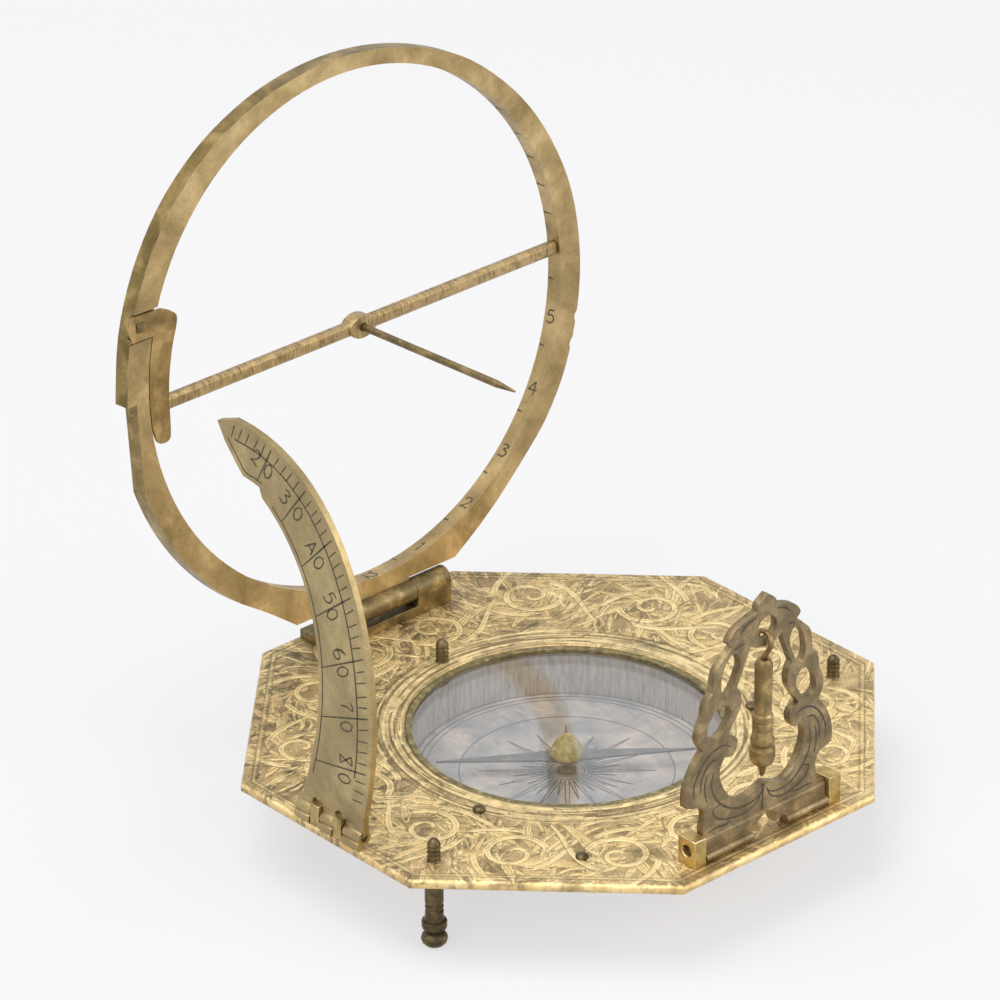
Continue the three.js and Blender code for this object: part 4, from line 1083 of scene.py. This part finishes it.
def sample(field, x, y):
    column, row = (x + plate["half"]) / plate["cell"], (y + plate["half"]) / plate["cell"]
    left = np.clip(np.floor(column).astype(int), 0, field.shape[1] - 2)
    bottom = np.clip(np.floor(row).astype(int), 0, field.shape[0] - 2)
    u, v = column - left, row - bottom
    return ((field[bottom, left] * (1 - u) + field[bottom, left + 1] * u) * (1 - v)
            + (field[bottom + 1, left] * (1 - u) + field[bottom + 1, left + 1] * u) * v)


gilt = {  # tones as they look on a screen
    "ground": ((154, 134, 92), (208, 181, 130), (236, 208, 152)),
    "gold": ((216, 186, 124), (240, 210, 148), (252, 224, 166)),
    "specks": (104, 90, 56),
    "worn": (186, 154, 120),
    "grime": (102, 93, 66),
    "cuts": (98, 86, 52),
    # painted shade: the tone the plate darkens to towards its back
    "back": (96, 84, 56),
    "glints": (255, 232, 174),
    "towardsHinge": (-0.7, 0.7, 0),
    "towardsBack": (-0.15, 1, 0),
}


def giltFinish():
    finish, shader, place = newFinish("gilt_plate")
    leafShare, dark, bright = (addNode(shader, "Attribute", {}, attribute_name=name)["Fac"]
                               for name in ("leaf", "dark", "bright"))
    patches = between(noiseAt(place, 3.6, 6, 0.6, 0.5), 0.35, 0.68)
    ground, gold = (ramp(patches, [(0, darkest), (1, lightest), (0.5, middle)])
                    for darkest, middle, lightest in (gilt["ground"], gilt["gold"]))
    specks = noiseAt(place, 0.2, 4, 0.7)
    ground = tinted(ground, specks, 0.5, 0.62, 0.6, gilt["specks"])
    colour = mixed(leafShare, ground, gold)
    worn = noiseAt(place, 2.1, 7, 0.68, 0.9)
    colour = tinted(colour, worn, 0.5, 0.64, 0.65, gilt["worn"])
    grime = noiseAt(stretched(place, (1, 1.2, 1)), 2.9, 8, 0.72, 0.7)
    nearHinge = between(distanceAlong(place, gilt["towardsHinge"]), -22, 24, 0.2, 1.0)
    grimeShare = mathNode("MULTIPLY", between(grime, 0.49, 0.61), nearHinge)
    colour = mixed(grimeShare, colour, gilt["grime"])
    colour = mixed(mathNode("MULTIPLY", dark, 0.8), colour, gilt["cuts"])
    # painted shade: the plate darkens towards its back
    colour = tinted(colour, distanceAlong(place, gilt["towardsBack"]), -26, 26, 0.25, gilt["back"])
    # painted highlight: the engraving's highlight field mixes the colour towards pale glint gold
    glint = noiseAt(place, 1.3, 5, 0.6)
    paintedHighlightShare = mathNode("MULTIPLY", bright, between(glint, 0.36, 0.6, 0.35, 1.0))
    colour = mixed(paintedHighlightShare, colour, gilt["glints"])
    relief = mathNode("ADD", specks, noiseAt(place, 0.1, 3, 0.6))
    feed(shader, {"Base Color": colour, "Metallic": 0.85,
                  "Roughness": between(worn, 0.3, 0.7, 0.3, 0.52),
                  "Normal": bumps(relief, 0.03)})
    return finish


def plateRings(depths):
    columns, rows, bevel, ease = plate["columns"], plate["rows"], plate["bevel"], plate["windowEase"]
    rim = outlinePoints(bevel, columns)
    wall = outlinePoints(0, columns)
    angles = np.arctan2(rim[:, 1], rim[:, 0])
    hole = np.stack([np.cos(angles), np.sin(angles)], axis=1)
    radius = plate["windowRadius"]
    rings = []

    def addRing(flat, height):
        rings.append(np.column_stack([flat, np.broadcast_to(height, columns)]))

    def across(share):  # from the window's edge to the rim
        return hole * (radius + ease) * (1 - share) + rim * share

    for share in np.linspace(0, 1, rows):
        flat = across(share)
        depth = sample(depths, flat[:, 0], flat[:, 1]) * plate["grooveDepth"]
        addRing(flat, plateTop - depth * min(1, 8 * share, 8 * (1 - share)))
    rubbed = np.abs(np.sin(np.arange(columns) * 0.11) * np.sin(np.arange(columns) * 0.037 + 1))
    addRing(wall + (rim - wall) * (0.12 + plate["wear"] * rubbed)[:, None], plateTop - bevel * 0.75)
    addRing(wall, plateTop - bevel)
    addRing(wall, plateUnder + bevel)
    addRing(rim, plateUnder)
    for share in (0.66, 0.33, 0):
        addRing(across(share), plateUnder)
    addRing(hole * radius, plateUnder + ease)
    addRing(hole * radius, plateTop - ease)
    return rings


def buildPlate():
    fields = drawOrnament()
    rings = plateRings(fields["depth"])
    points = np.concatenate(rings)
    columns, count = plate["columns"], len(rings)
    index = np.arange(count * columns).reshape(count, columns)
    nextRing, nextColumn = np.roll(index, -1, axis=0), np.roll(index, -1, axis=1)
    diagonal = np.roll(nextRing, -1, axis=1)
    faces = np.stack([index, nextRing, diagonal, nextColumn], axis=2).reshape(-1, 4)
    mesh = bpy.data.meshes.new("engraved_plate")
    mesh.from_pydata(points * metre, [], faces, shade_flat=False)
    onTop = np.arange(len(points)) < plate["rows"] * columns
    # the painted highlight field goes onto the skin as an attribute, beside leaf and dark
    for name, elsewhere in (("leaf", 1), ("dark", 0), ("bright", 0)):
        values = np.where(onTop, sample(fields[name], points[:, 0], points[:, 1]), elsewhere)
        mesh.attributes.new(name, "FLOAT", "POINT").data.foreach_set("value", values.astype(np.float32))
    mesh.materials.append(giltFinish())
    piece = addPiece("engraved_plate", mesh, "base")
    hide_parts("base_plate")


buildPlate()
print("plate ready")
